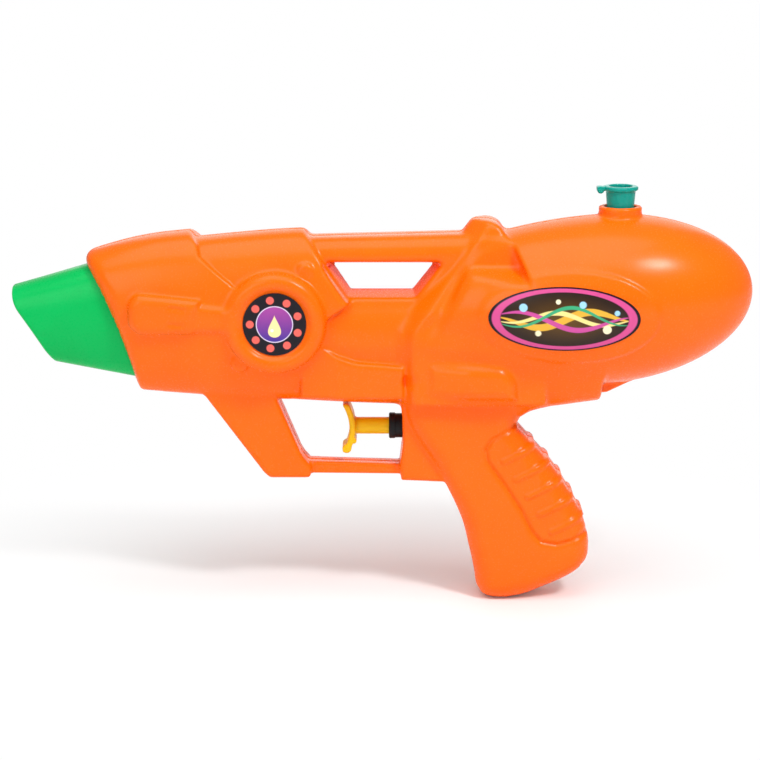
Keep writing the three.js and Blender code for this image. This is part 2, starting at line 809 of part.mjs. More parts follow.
const jetFlangeX = jetWebX + jetWebThickness + clearance;
place(
  "nozzle_jet",
  black,
  turned(
    [
      [jetWebX - jetLength + 1.2, jetBore],
      [jetWebX - jetLength, jetRadius - 0.6],
      [jetWebX - jetLength + 0.8, jetRadius],
      [jetFlangeX, jetRadius],
      [jetFlangeX, jetRadius + 2],
      [jetFlangeX + 1.5, jetRadius + 2],
      [jetFlangeX + 1.5, barbRadius],
      [jetFlangeX + 1.5 + barbLength, barbRadius],
      [jetFlangeX + 1.5 + barbLength, jetBore],
      [jetWebX - jetLength + 1.2, jetBore],
    ],
    vector(0, 0, jetZ),
    "x",
    16,
  ),
);
place("delivery_hose", clear, hose(hosePath, 26));
place("suction_hose", clear, hose(suctionPath, 8));

// Pump
place(
  "pump_cylinder",
  milky,
  turned(
    [
      [cylinderX, pumpBore],
      [cylinderX, cylinderRadius],
      [cylinderEndX, cylinderRadius],
      [cylinderEndX, pumpBore],
      [cylinderX, pumpBore],
    ],
    pumpAxis,
    "x",
    24,
  ),
);
place(
  "pump_collar",
  black,
  turned(
    [
      [collarFrontX, rodRadius + clearance],
      [collarFrontX, collarRadius - 0.4],
      [collarFrontX + 0.4, collarRadius],
      [collarEndX, collarRadius],
      [collarEndX, rodRadius + clearance],
      [collarFrontX, rodRadius + clearance],
    ],
    pumpAxis,
    "x",
    32,
  ),
);
place(
  "gland_gasket",
  rubber,
  turned(
    [
      [gasketX, rodRadius + clearance],
      [gasketX, collarRadius],
      [gasketX + gasketThickness, collarRadius],
      [gasketX + gasketThickness, rodRadius + clearance],
      [gasketX, rodRadius + clearance],
    ],
    pumpAxis,
    "x",
    20,
  ),
);
const valveBlock = cut(
  join([
    rod(blockBottom, blockTop, blockRadius, valveAxis, "z", 16),
    rod(blockX, valveX, cylinderRadius - 0.6, pumpAxis, "x", 20),
  ]),
  [
    rod(blockBottom - 1, inletSeatZ, barbRadius + 1 + clearance, valveAxis, "z", 16),
    rod(inletSeatZ - 1, inletCeiling, chamber, valveAxis, "z", 16),
    rod(inletCeiling - 1, outletSeatZ + 1, seatBore, valveAxis, "z", 16),
    rod(outletSeatZ, outletCeiling, chamber, valveAxis, "z", 16),
    rod(outletCeiling - 1, blockTop + 1, barbRadius + 1 + clearance, valveAxis, "z", 16),
    rod(blockX - 1, valveX, 1.5, pumpAxis, "x", 12),
  ],
);
place("valve_block", milky, valveBlock);
const inletTop = inletSeatZ - 0.2;
place(
  "inlet_fitting",
  milky,
  turned(
    [
      [blockBottom - barbLength, barbBore],
      [blockBottom - barbLength, barbRadius],
      [blockBottom, barbRadius],
      [blockBottom, barbRadius + 1],
      [inletTop, barbRadius + 1],
      [inletTop, seatBore],
      [inletTop - 1, barbBore],
      [blockBottom - barbLength, barbBore],
    ],
    valveAxis,
    "z",
    16,
  ),
);
place(
  "outlet_fitting",
  milky,
  turned(
    [
      [outletCeiling + 0.2, barbBore],
      [outletCeiling + 0.2, barbRadius + 1],
      [blockTop, barbRadius + 1],
      [blockTop, barbRadius],
      [blockTop + barbLength, barbRadius],
      [blockTop + barbLength, barbBore],
      [outletCeiling + 0.2, barbBore],
    ],
    valveAxis,
    "z",
    16,
  ),
);
const ball = (z) => new THREE.SphereGeometry(ballRadius, 12, 8).translate(valveX, 0, z);
place("inlet_ball", steel, ball(inletTop + ballSit + 0.2));
place("outlet_ball", steel, ball(outletSeatZ + ballSit + 0.2));

// Return spring inside the cylinder, from the piston to the valve block
const springFrom = pistonEndX + clearance;
const springTo = cylinderEndX - clearance;
const springRadius = pumpBore - springWire / 2 - 0.5;
class Coil extends THREE.Curve {
  getPoint(t, target = new THREE.Vector3()) {
    const angle = 2 * Math.PI * springTurns * t;
    const along = springFrom + springWire / 2 + (springTo - springFrom - springWire) * t;
    return target.set(along, springRadius * Math.cos(angle), pumpZ + springRadius * Math.sin(angle));
  }
}
const wire = new THREE.Shape();
wire.absarc(0, 0, springWire / 2, 0, Math.PI * 2);
place(
  "return_spring",
  steel,
  new THREE.ExtrudeGeometry(wire, {
    steps: springTurns * 8,
    curveSegments: 3,
    extrudePath: new Coil(),
    bevelEnabled: false,
  }),
);

// Trigger: curved finger plate, plunger rod and piston in one moulding
const plateX = collarFrontX - stroke - 1.7;
const plateMiddle = (triggerTop + triggerBottom) / 2;
const plateHalf = (triggerTop - triggerBottom) / 2;
const plateOutline = new THREE.Shape();
const plateCurve = (offset, z) => plateX - offset - triggerHollow * ((z - plateMiddle) / plateHalf) ** 2;
const plateSteps = 8;
for (let i = 0; i <= plateSteps; i++) {
  const z = triggerBottom + (2 * plateHalf * i) / plateSteps;
  const x = plateCurve(0, z);
  if (i === 0) plateOutline.moveTo(x, z);
  else plateOutline.lineTo(x, z);
}
for (let i = plateSteps; i >= 0; i--) {
  const z = triggerBottom + (2 * plateHalf * i) / plateSteps;
  plateOutline.lineTo(plateCurve(triggerThickness, z), z);
}
plateOutline.closePath();
const grooveMiddle = pistonX + pistonLength / 2;
const trigger = join([
  solid(slab(plateOutline, triggerHalfWidth, 0.5, 0, { segments: 2 })),
  solid(
    turned(
      [
        [plateX - 1, 0],
        [plateX - 1, rodRadius],
        [pistonX, rodRadius],
        [pistonX, pistonRadius],
        [grooveMiddle - 0.9, pistonRadius],
        [grooveMiddle - 0.9, pistonRadius - 1.2],
        [grooveMiddle + 0.9, pistonRadius - 1.2],
        [grooveMiddle + 0.9, pistonRadius],
        [pistonEndX, pistonRadius],
        [pistonEndX, 0],
      ],
      pumpAxis,
      "x",
      24,
    ),
  ),
]);
place("trigger", yellow, trigger);
place(
  "piston_seal",
  rubber,
  new THREE.TorusGeometry(pistonRadius - 0.5, 0.6, 6, 20).rotateY(Math.PI / 2).translate(grooveMiddle, 0, pumpZ),
);

// Filler plug: a cup with a flange and a pull tab
const plugLow = neckTop - plugDepth;
const plugHigh = neckTop + plugStand;
const plugTab = new THREE.BoxGeometry(plugFlange + 2.4, 4, plugFlangeThickness)
  .translate(-(plugFlange + 2.4) / 2, 0, plugHigh - plugFlangeThickness / 2)
  .translate(neckX, 0, 0);
const plugCup = turned(
  [
    [plugLow, 0],
    [plugLow, plugRadius - 0.9],
    [neckTop, plugRadius - 0.2],
    [plugHigh - plugFlangeThickness, plugRadius + 0.1],
    [plugHigh - plugFlangeThickness, plugFlange],
    [plugHigh, plugFlange - 0.2],
    [plugHigh, plugRadius - plugWall],
    [plugLow + 2, plugRadius - plugWall - 0.9],
    [plugLow + 2, 0],
  ],
  neckPlace,
  "z",
  28,
);
const plugWell = rod(plugLow + 2, plugHigh + 3, plugRadius - plugWall, neckPlace, "z", 28);
place("filler_plug", teal, solid(plugCup).add(solid(plugTab).subtract(plugWell)));

// Labels
const roundBadge = bossAxis(
  turnedAside(
    [
      [badgeFloor, 0],
      [badgeFloor, badgeRadius],
      [badgeFloor + badgeThickness, badgeRadius],
      [badgeFloor + badgeThickness, 0],
    ],
    28,
  ),
);
place("round_badge_left", label, roundBadge);
place("round_badge_right", label, mirrored(roundBadge));
place("oval_badge_left", label, ovalBadge);
place("oval_badge_right", label, mirrored(geometryOf(ovalBadge)));

const part = new THREE.Group();
part.name = "water_squirter";
part.add(...parts);
export default part;
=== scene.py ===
import numpy as np
import bpy
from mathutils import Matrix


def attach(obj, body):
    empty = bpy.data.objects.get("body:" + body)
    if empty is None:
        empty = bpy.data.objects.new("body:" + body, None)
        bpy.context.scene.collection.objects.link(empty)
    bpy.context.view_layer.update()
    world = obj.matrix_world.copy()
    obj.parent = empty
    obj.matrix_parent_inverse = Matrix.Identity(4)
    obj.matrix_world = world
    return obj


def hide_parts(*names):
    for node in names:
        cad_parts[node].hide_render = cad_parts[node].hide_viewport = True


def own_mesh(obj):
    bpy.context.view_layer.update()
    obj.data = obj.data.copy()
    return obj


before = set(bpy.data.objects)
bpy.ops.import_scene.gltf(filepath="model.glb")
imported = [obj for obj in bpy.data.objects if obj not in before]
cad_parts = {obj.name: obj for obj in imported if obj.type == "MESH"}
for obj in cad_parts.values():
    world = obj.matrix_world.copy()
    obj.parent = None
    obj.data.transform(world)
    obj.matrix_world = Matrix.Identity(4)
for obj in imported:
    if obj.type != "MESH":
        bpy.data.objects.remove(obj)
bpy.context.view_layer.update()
mm = 0.001


def linear(hexText):  # sRGB hex to linear: the two-part sRGB curve
    v = np.array([int(hexText[i:i + 2], 16) / 255 for i in (1, 3, 5)])
    v = np.where(v <= 0.04045, v / 12.92, ((v + 0.055) / 1.055) ** 2.4)
    return (*v, 1.0)


# Settings: attributes or input values; links: input -> (node, output)
def addNode(tree, kind, settings=None, links=None):
    node = tree.nodes.new(kind)
    for key, value in (settings or {}).items():
        if isinstance(key, str) and hasattr(node, key):
            setattr(node, key, value)
        else:
            node.inputs[key].default_value = value
    for key, (other, output) in (links or {}).items():
        tree.links.new(other.outputs[output], node.inputs[key])
    return node


def emptyMaterial(name):  # a material with no nodes yet, and its tree
    mat = bpy.data.materials.new(name)
    mat.use_nodes = True
    mat.node_tree.nodes.clear()
    return mat, mat.node_tree


# Moulded polypropylene: satin, a faint cloudiness of the pigment a centimetre or two across,
# slow ripples from the mould and a fine grain, which is the finest that still shows
def mouldedPlastic(name, light, deep, roughness, shine=0.22):
    mat, tree = emptyMaterial(name)
    place = addNode(tree, "ShaderNodeTexCoord")
    noises = []
    for size, detail in ((0.018, 3.0), (0.0007, 2.0), (0.009, 1.0)):  # in metres
        settings = {"Scale": 1 / size, "Detail": detail}
        noises.append(addNode(tree, "ShaderNodeTexNoise", settings, {"Vector": (place, "Object")}))
    cloud, grain, wave = noises
    tones = {"data_type": "RGBA", 6: linear(light), 7: linear(deep)}
    tone = addNode(tree, "ShaderNodeMix", tones, {0: (cloud, 0)})
    span = {"From Min": 0.3, "From Max": 0.7, "To Min": roughness - 0.02, "To Max": roughness + 0.03}
    gloss = addNode(tree, "ShaderNodeMapRange", span, {"Value": (grain, 0)})
    ripple = addNode(tree, "ShaderNodeBump", {"Strength": 0.12, "Distance": 0.0004}, {"Height": (wave, 0)})
    bump = addNode(tree, "ShaderNodeBump", {"Strength": 0.02, "Distance": 0.00008},
                   {"Height": (grain, 0), "Normal": (ripple, 0)})
    skin = addNode(tree, "ShaderNodeBsdfPrincipled", {"IOR": 1.49, "Specular IOR Level": shine},
                   {"Base Color": (tone, 2), "Roughness": (gloss, 0), "Normal": (bump, 0)})
    addNode(tree, "ShaderNodeOutputMaterial", {}, {"Surface": (skin, 0)})
    return mat


# Printed vinyl label: gloss film, the print is a colour on each vertex, with a faint cast of ink
def printedVinyl(name):
    mat, tree = emptyMaterial(name)
    ink = addNode(tree, "ShaderNodeAttribute", {"attribute_name": "labelInk"})
    place = addNode(tree, "ShaderNodeTexCoord")
    film = addNode(tree, "ShaderNodeTexNoise", {"Scale": 1 / 0.004, "Detail": 2.0}, {"Vector": (place, "Object")})
    bump = addNode(tree, "ShaderNodeBump", {"Strength": 0.08, "Distance": 0.0002}, {"Height": (film, 0)})
    skin = addNode(tree, "ShaderNodeBsdfPrincipled", {"IOR": 1.5, "Roughness": 0.22, "Specular IOR Level": 0.2},
                   {"Base Color": (ink, "Color"), "Normal": (bump, 0)})
    addNode(tree, "ShaderNodeOutputMaterial", {}, {"Surface": (skin, 0)})
    return mat


# Drawn spring steel: bright, with fine streaks
def springSteel(name):
    mat, tree = emptyMaterial(name)
    place = addNode(tree, "ShaderNodeTexCoord")
    streak = addNode(tree, "ShaderNodeTexNoise", {"Scale": 1 / 0.0006, "Detail": 2.0}, {"Vector": (place, "Object")})
    gloss = addNode(tree, "ShaderNodeMapRange", {"To Min": 0.2, "To Max": 0.38}, {"Value": (streak, 0)})
    skin = addNode(tree, "ShaderNodeBsdfPrincipled", {"Metallic": 1.0, "Base Color": linear("#B9BCC0")},
                   {"Roughness": (gloss, 0)})
    addNode(tree, "ShaderNodeOutputMaterial", {}, {"Surface": (skin, 0)})
    return mat


orangePlastic = mouldedPlastic("orangeMouldedPolypropylene", "#FF6C05", "#FC6402", 0.255)
greenPlastic = mouldedPlastic("greenMouldedPolypropylene", "#01BA5C", "#01AE50", 0.28, shine=0.14)
tealPlastic = mouldedPlastic("tealMouldedPolyethylene", "#049A8C", "#038E7E", 0.2, shine=0.24)
yellowPlastic = mouldedPlastic("yellowMouldedPolypropylene", "#F2C010", "#EAB40A", 0.34)
blackPlastic = mouldedPlastic("blackMouldedPolypropylene", "#17181A", "#101113", 0.42)
milkyPlastic = mouldedPlastic("naturalMouldedPolyethylene", "#DDE0DA", "#CFD4CC", 0.42)
softHose = mouldedPlastic("clearHoseVinyl", "#CBD4D0", "#BCC6C1", 0.3)
blackRubber = mouldedPlastic("blackNitrileRubber", "#2A2A2E", "#202024", 0.75)
labelVinyl = printedVinyl("printedLabelVinyl")
springWire = springSteel("drawnSpringSteel")
print("materials made")


# Points in millimetres, faces an array of quads, turned outward by the sign of their volume
def addPiece(name, points, faces, material, body, nodes, slotName, ink=None, crease=None):
    p, faces = np.asarray(points, float), np.asarray(faces)
    a, b, c, d = (p[faces[:, k]] for k in range(4))
    if (np.cross(c - a, d - b) * (a + b + c + d)).sum() < 0:
        faces = faces[:, ::-1]
    mesh = bpy.data.meshes.new(name)
    mesh.from_pydata(p * mm, [], faces.tolist())
    mesh.polygons.foreach_set("use_smooth", np.ones(len(mesh.polygons), bool))
    if crease:
        mesh.set_sharp_from_angle(angle=np.radians(crease))
    if ink is not None:
        layer = mesh.attributes.new("labelInk", "FLOAT_COLOR", "POINT")
        layer.data.foreach_set("color", np.asarray(ink, np.float32).ravel())
    mesh.materials.append(material)
    piece = bpy.data.objects.new(name, mesh)
    bpy.context.scene.collection.objects.link(piece)
    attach(piece, body)
    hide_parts(*nodes)
    return piece


# Quads of a grid of points numbered row by row
def gridFaces(rows, columns, closeRows=False, closeColumns=False, start=0):
    r = np.arange(rows if closeRows else rows - 1)[:, None]
    c = np.arange(columns if closeColumns else columns - 1)[None, :]
    r2, c2 = (r + 1) % rows, (c + 1) % columns
    quads = np.stack([r * columns + c, r * columns + c2, r2 * columns + c2, r2 * columns + c], -1)
    return start + quads.reshape(-1, 4)


# Distances in millimetres, negative inside. x, y and z are arrays that broadcast; y is measured from the seam.
def softMin(a, b, k):  # smooth union: the smaller one, blended over a width k
    h = np.clip(0.5 + 0.5 * (b - a) / k, 0, 1)
    return b + (a - b) * h - k * h * (1 - h)


def softMax(a, b, k):
    return -softMin(-a, -b, k)


# Smooth curve through table values: cubic Hermite pieces with centred slopes, level outside
def through(xs, values, x):
    slope = np.gradient(values, xs)
    i = np.clip(np.searchsorted(xs, x) - 1, 0, len(xs) - 2)
    span = xs[i + 1] - xs[i]
    t = np.clip((x - xs[i]) / span, 0, 1)
    value = (1 + 2 * t) * (1 - t) ** 2 * values[i] + t * t * (3 - 2 * t) * values[i + 1]
    return value + span * t * (1 - t) * ((1 - t) * slope[i] - t * slope[i + 1])


# Distance past a plane across the seam, through (px, pz), its normal leaning up by an angle;
# bow moves it back by a parabola towards the sides
def beyond(x, z, plane, y=0.0):
    px, pz, lean = plane[:3]
    a = np.radians(lean)
    bow, reach = plane[3:] or (0.0, 1.0)
    return (x - px - bow * np.minimum(np.abs(y) / reach, 1.1) ** 2) * np.cos(a) + (z - pz) * np.sin(a)


def sectionParts(form, x):  # a form's top, bottom, half width and middle height at x
    rows = np.array(form["stations"], float).T
    return [through(rows[0], rows[k], x) for k in range(1, 5)]


# Upright rounded-box sections |y/w|^n + |z/h|^n = 1, with the lower half drawn in;
# value over slope gives the distance
def sectionField(form, x, y, z):
    top, bottom, half, middle = sectionParts(form, x)
    up = z > middle
    reach = np.where(up, top - middle, middle - bottom)
    high = np.abs(z - middle) / reach + 1e-4
    wide = half * np.where(up, 1, 1 - form["drawIn"] * np.minimum(high, 1.3))
    side = y / wide + 1e-4
    n = np.where(up, form["upper"], form["lower"])
    size = (side ** n + high ** n) ** (1 / n)
    slope = np.hypot((side / size) ** (n - 1) / wide, (high / size) ** (n - 1) / reach)
    return (size - 1) / slope


def edgeSquare(a, b, x, z):  # squared distance to the straight edge from a to b
    ex, ez = b - a
    t = np.clip(((x - a[0]) * ex + (z - a[1]) * ez) / (ex * ex + ez * ez + 1e-9), 0, 1)
    return (x - a[0] - t * ex) ** 2 + (z - a[1] - t * ez) ** 2


# Signed distance to a closed outline in the side plane: nearest edge, sign by crossings
def outlineDistance(corners, x, z):
    p = np.asarray(corners, float)
    best, inside = np.inf, False
    for a, b in zip(p, np.roll(p, -1, 0)):
        best = np.minimum(best, edgeSquare(a, b, x, z))
        ex, ez = b - a
        inside ^= ((a[1] > z) != (b[1] > z)) & (x < ex * (z - a[1]) / (ez if ez else 1e-9) + a[0])
    return np.where(inside, -1, 1) * np.sqrt(best)


def lineDistance(points, x, z):  # distance to an open line in the side plane
    p = np.asarray(points, float)
    best = np.inf
    for a, b in zip(p[:-1], p[1:]):
        best = np.minimum(best, edgeSquare(a, b, x, z))
    return np.sqrt(best)


def rounded(corners):  # corners (x, z, cutback): each corner becomes a short parabola between its two cutbacks
    c = np.asarray(corners, float)
    here, back = c[:, :2], c[:, 2:]
    toward = [np.roll(here, k, 0) - here for k in (1, -1)]
    ends = [here + t / np.linalg.norm(t, axis=1, keepdims=True) * back for t in toward]
    s = np.linspace(0, 1, 6)[None, :, None]
    curve = (1 - s) ** 2 * ends[0][:, None] + 2 * s * (1 - s) * here[:, None] + s * s * ends[1][:, None]
    return curve.reshape(-1, 2)


# A side outline's distance given depth to both sides, with edges rounded to a radius
def slabField(flat, y, halfWidth, edge):
    a, b = flat + edge, y - halfWidth + edge
    return np.minimum(np.maximum(a, b), 0) + np.hypot(np.maximum(a, 0), np.maximum(b, 0)) - edge


muzzle = {
    "stations": [(-150, 117.2, 97.4, 9.6, 106), (-128, 123.4, 93.1, 11.4, 106), (-112, 128.1, 90, 12.6, 106),
                 (-98, 132.2, 87.3, 13.2, 106), (-80, 137, 83.8, 13.8, 106)],  # x, top, bottom, half width, middle
    "upper": 3.0, "lower": 3.2, "drawIn": 0.2, "front": (-140, 117, 33.5, 2.6, 11.5), "inMouth": 4.7,
    "tip": (0.4, 3.6), "foot": (0.6, 1.2),  # where a rounded corner starts, as a share of the height, and its depth
    "wall": 1.7, "clearance": 0.3, "webX": -112, "webThickness": 1.8, "jetZ": 106, "jetRadius": 2.3,
    "turns": 160, "rows": 60, "webRows": 12, "rim": 0.012,
}

shell = {
    "step": 0.85, "triangles": 184000, "wall": 1.8, "seam": 0.05, "lip": 2.4,
    "mouth": (-110.3, 131, 21.5, 5.0, 17.0), "mouthBlend": ([88, 122], [1.4, 4.5]),
    "hood": {"stations": [(-118, 130.6, 83.4, 16.2, 109), (-104, 135.6, 82.4, 17.8, 109), (-90, 139.3, 81, 18.6, 109),
                          (-73, 141.6, 79.7, 19, 109), (-54, 142.3, 78.4, 19, 109), (-36, 142.4, 77.6, 17.4, 109)],
             "upper": 2.6, "lower": 3, "drawIn": 0.3},
    "hoodEnd": [(-140, 160), (-73, 160), (-72.2, 143.5), (-67.6, 137.7), (-66.8, 134), (-61, 128.9), (-55, 124),
                (-40, 110), (-34, 80), (-34, 60), (-140, 60)],
    "middle": {"stations": [(-94, 136.4, 81.6, 16.4, 109), (-68, 139.2, 79.4, 17.4, 109),
                            (-32, 142.2, 77.4, 17.4, 109), (6, 142.4, 76, 16.4, 109)],
               "upper": 2.6, "lower": 3, "drawIn": 0.3, "ends": (-82, 8)},
    "recess": [(-27.4, 141), (-18, 126), (-10.8, 116.4), (-20.4, 110.2), (-24, 104), (-23.6, 100.6), (-16, 96.4),
               (-8.7, 94), (8, 92.7), (44, 91), (44, 160), (-38.6, 160)],
    "ledge": [(-30, 103), (-23.6, 100.6), (-16, 96.4), (-8.7, 94), (9, 92.6), (9, 80), (-30, 80)],
    "ledgeHalf": ([-30, -16], [13.4, 16.4]), "ledgeEdge": 1.6,
    "bridge": {"stations": [(-46, 118.2, 78.8, 14.4, 101), (-8, 118.2, 76, 14.4, 100), (22, 118.2, 75.2, 14.4, 100)],
               "upper": 3, "lower": 2.8, "drawIn": 0.25, "ends": (-46, 22)},
    "bridgeSlope": (14.4, 110, 8.2, 4.6),  # a point (y, z) of the chamfer and its run across and up
    "handle": [(-36, 139.3), (36, 141.1), (40, 104), (-30, 104), (-36, 122)], "handleHalf": 10.8, "handleEdge": 7,
    "window": [(-19.2, 130.2, 0.8), (-11.4, 118.5, 0.8), (12.7, 118.5, 0.8), (21.9, 130.2, 0.8)],
    "windowDraft": (0.9, 0.19),  # set back at the seam, and opening per millimetre towards the sides
    "tower": [(62, 78, 0), (58, 122, 0), (48, 140.6, 0), (44.6, 146, 0), (34.4, 146.4, 5.6), (6.6, 107.4, 5.4),
              (7.2, 78, 0)], "towerDeep": 7.0, "towerCap": 139,
    "towerSide": [(78, 18.5), (114, 18.5), (128, 12.6), (139.4, 12.2), (141.2, 10.8), (146.4, 9.6)],
    "shoulder": [(112, 33), (124.5, 28), (129.8, 13.4), (139.4, 12), (146.4, 9.6)], "tankLine": (55.5, 125, 25.9),
    "skirt": {"stations": [(7.2, 113, 75.4, 15, 100), (16.2, 113, 75, 18.6, 100), (33.2, 113, 74.8, 21.6, 100),
                           (57, 113, 74.6, 23, 100), (83, 113, 77.8, 23, 100)],
              "upper": 2.4, "lower": 4, "drawIn": 0.36, "ends": (7.2, 83)},
    "tank": {"centre": (83.2, 115.4), "front": 81, "rear": 56.9, "radius": 32, "half": 30, "tilt": 4.8,
             "face": (15.4, 98, -27.8)},
    "grip": [(0, 43.4, 48.8), (1, 40.4, 53.8), (3.7, 37.9, 61), (10.4, 36.2, 74.6), (15, 35.3, 78.8), (21, 33.9, 79.8),
             (30, 31.7, 78.2), (40, 27.5, 73.2), (54, 19.8, 63.8), (63, 13.8, 55.8), (68, 10.8, 51.8), (72, 9.4, 53.8),
             (76, 9, 62), (83, 9, 72)], "gripHalf": 13.4, "gripEdge": 7.5,  # height, front and rear
    "ribs": {"count": 5, "lean": 26, "first": (52.6, 58.4), "last": (71, 30.8), "proud": 0.8, "half": 1.2,
             "shift": 2, "reach": 8.5},
    "groove": [(50.5, 68.4), (42.2, 63.7), (39.9, 59.8), (40.5, 55.5), (46.7, 46.9), (53.2, 36.8), (57.8, 27.6),
               (61.2, 23.9), (67.3, 22.7), (72.8, 24.3), (79, 27)], "grooveCut": (1.1, 0.75),
    "heel": [(7, 84), (8.4, 71), (8.6, 61), (7.4, 51), (8.2, 46.6), (24.5, 46), (38, 70), (38, 84)],
    "strut": [(-69.4, 84, 0.1), (-44, 49.4, 1), (-41.8, 47.5, 0.8), (-26.6, 47.5, 1.2), (-25.6, 51.3, 1.4),
              (-29.6, 55.9, 2), (-41.4, 84, 0.1)],
    "bar": [(-34, 53.4), (-34, 48.7), (12, 48.2), (12, 52.0)],
    "gusset": [(79, 79.2), (86, 79.8), (98, 85.6), (91, 93.2), (79, 93.2)],
    "sidePad": [(-93, 117, 2), (-90, 121, 3), (-66, 118.6, 0.6), (-69, 105.8, 0.6), (-89, 105.4, 2), (-93, 109, 2)],
    "sidePadTail": [(-74, 117.6), (-54, 115.6), (-54, 106.4), (-74, 106)],
    "lowerPad": [(15.6, 95.8, 1.5), (46, 94.4, 3), (50.6, 90, 3), (51.2, 80.4, 1), (15.6, 80.4, 1)],
    "lowerPadHalf": ([15.6, 20, 33, 51], [17.4, 20, 22.6, 23]), "lowerPadEdge": 5,
    "slabs": {"heel": (9, 2, 0.9), "strut": (8, 1.6, 1.4), "bar": (4.6, 0.8, 0.8), "gusset": (2.6, 0.8, 1.2),
              "sidePad": (22.3, 3.4, 1.2), "sidePadTail": (20.8, 2.6, 1.2)},  # half width, edge radius, fillet
    "boss": (-38.9, 109.6), "bossRadius": 18.8, "bossFace": 21.4, "bossEdge": 3.4, "badgeWell": 12, "badgeFloor": 19.6,
    "studs": [(-27.6, 128.3, 15.8), (-52.2, 94.2, 17.2)], "studRadius": 3.5, "studRise": 0.5, "studEdge": 1.8,
    "oval": (68.4, 113.4), "ovalPad": (34.8, 18.3), "ovalRise": 0.9, "ovalStep": ([50, 88], [0.84, 0.95]),
    "dimple": (11.4, 86.9, 3.6, 2.4), "dimpleDeep": 0.7,
    "notches": [[(-77.5, 116), (-71.5, 115.4)], [(-77.5, 109.8), (-72.5, 109.4)]], "notchCut": (0.5, 0.7),
    "neck": (89.7, 150.74, 8), "neckBore": 5.9, "collar": (66.3, 5.25),
    "mouthCut": (8, 1), "neckCut": (3, 11), "collarCut": (7, 9),  # how far each hole runs through the wall
}


def tankAxes(x, z):  # a point on the egg's tilted axes, and the length of the half it lies in
    t = shell["tank"]
    a = np.radians(t["tilt"])
    dx, dz = x - t["centre"][0], z - t["centre"][1]
    u, v = dx * np.cos(a) + dz * np.sin(a), dz * np.cos(a) - dx * np.sin(a)
    return u, v, np.where(u < 0, t["front"], t["rear"])


# Egg: half an ellipsoid to the front and a shorter one to the rear, on a tilted axis
def tankField(x, y, z):
    u, v, long = tankAxes(x, z)
    tall, wide = shell["tank"]["radius"], shell["tank"]["half"]
    size = np.sqrt((u / long) ** 2 + (v / tall) ** 2 + (y / wide) ** 2) + 1e-6
    slope = np.sqrt((u / long ** 2) ** 2 + (v / tall ** 2) ** 2 + (y / wide ** 2) ** 2) / size + 1e-6
    return (size - 1) / slope


def sideOf(table, y, z):  # distance outside a side whose half width follows heights in a table, eased over 2 mm
    heights, halves = np.array(shell[table]).T
    low, here, high = (np.interp(z + d, heights, halves) for d in (-1, 0, 1))
    return (y - (low + here + high) / 3) / np.hypot(1, (high - low) / 2)


# Side outline with the front edges chamfered towards the side faces: the largest of the plane distances
def towerField(x, y, z):
    corners = np.array(shell["tower"])
    side, deep = sideOf("towerSide", y, z), shell["towerDeep"]
    field = side
    for (ax, az, chamfer), (bx, bz, _) in zip(corners, np.roll(corners, -1, 0)):
        out = ((x - ax) * (bz - az) - (z - az) * (bx - ax)) / np.hypot(bx - ax, bz - az)
        field = softMax(field, out, 3.4 if min(az, bz) > shell["towerCap"] else 1.6)  # the cap is rounder
        if chamfer:
            field = softMax(field, (out * deep + (side + deep) * chamfer) / np.hypot(deep, chamfer), 1.2)
    return field


gripRows = np.array(shell["grip"]).T
gripLevels = np.concatenate([np.linspace(0, 12, 14), np.linspace(15, 83, 30)])
gripOutline = np.concatenate([np.stack([through(gripRows[0], gripRows[1], gripLevels), gripLevels], 1),
                              np.stack([through(gripRows[0], gripRows[2], gripLevels), gripLevels], 1)[::-1]])


def endsField(form, x, y, z, blend):  # a section form between its two ends
    low, high = form["ends"]
    return softMax(sectionField(form, x, y, z), np.maximum(x - high, low - x), blend)


def ribbedGrip(x, y, z):  # each rib is a bar across the grip, a little proud of it; the groove is a bell-shaped cut
    s, r = shell, shell["ribs"]
    grip = slabField(outlineDistance(gripOutline, x, z), y, s["gripHalf"], s["gripEdge"])
    lean = np.radians(r["lean"])
    for share in np.arange(r["count"]) / (r["count"] - 1):
        dx = x - r["first"][0] - share * (r["last"][0] - r["first"][0])
        dz = z - r["first"][1] - share * (r["last"][1] - r["first"][1])
        along, across = dx * np.cos(lean) + dz * np.sin(lean), dz * np.cos(lean) - dx * np.sin(lean)
        rib = np.hypot(np.maximum(np.abs(along - r["shift"]) - r["reach"], 0), across) - r["half"]
        grip = softMin(grip, softMax(grip - r["proud"], rib, 0.7), 0.7)
    deep, wide = s["grooveCut"]
    return grip + deep * np.exp(-(lineDistance(s["groove"], x, z) / wide) ** 2)


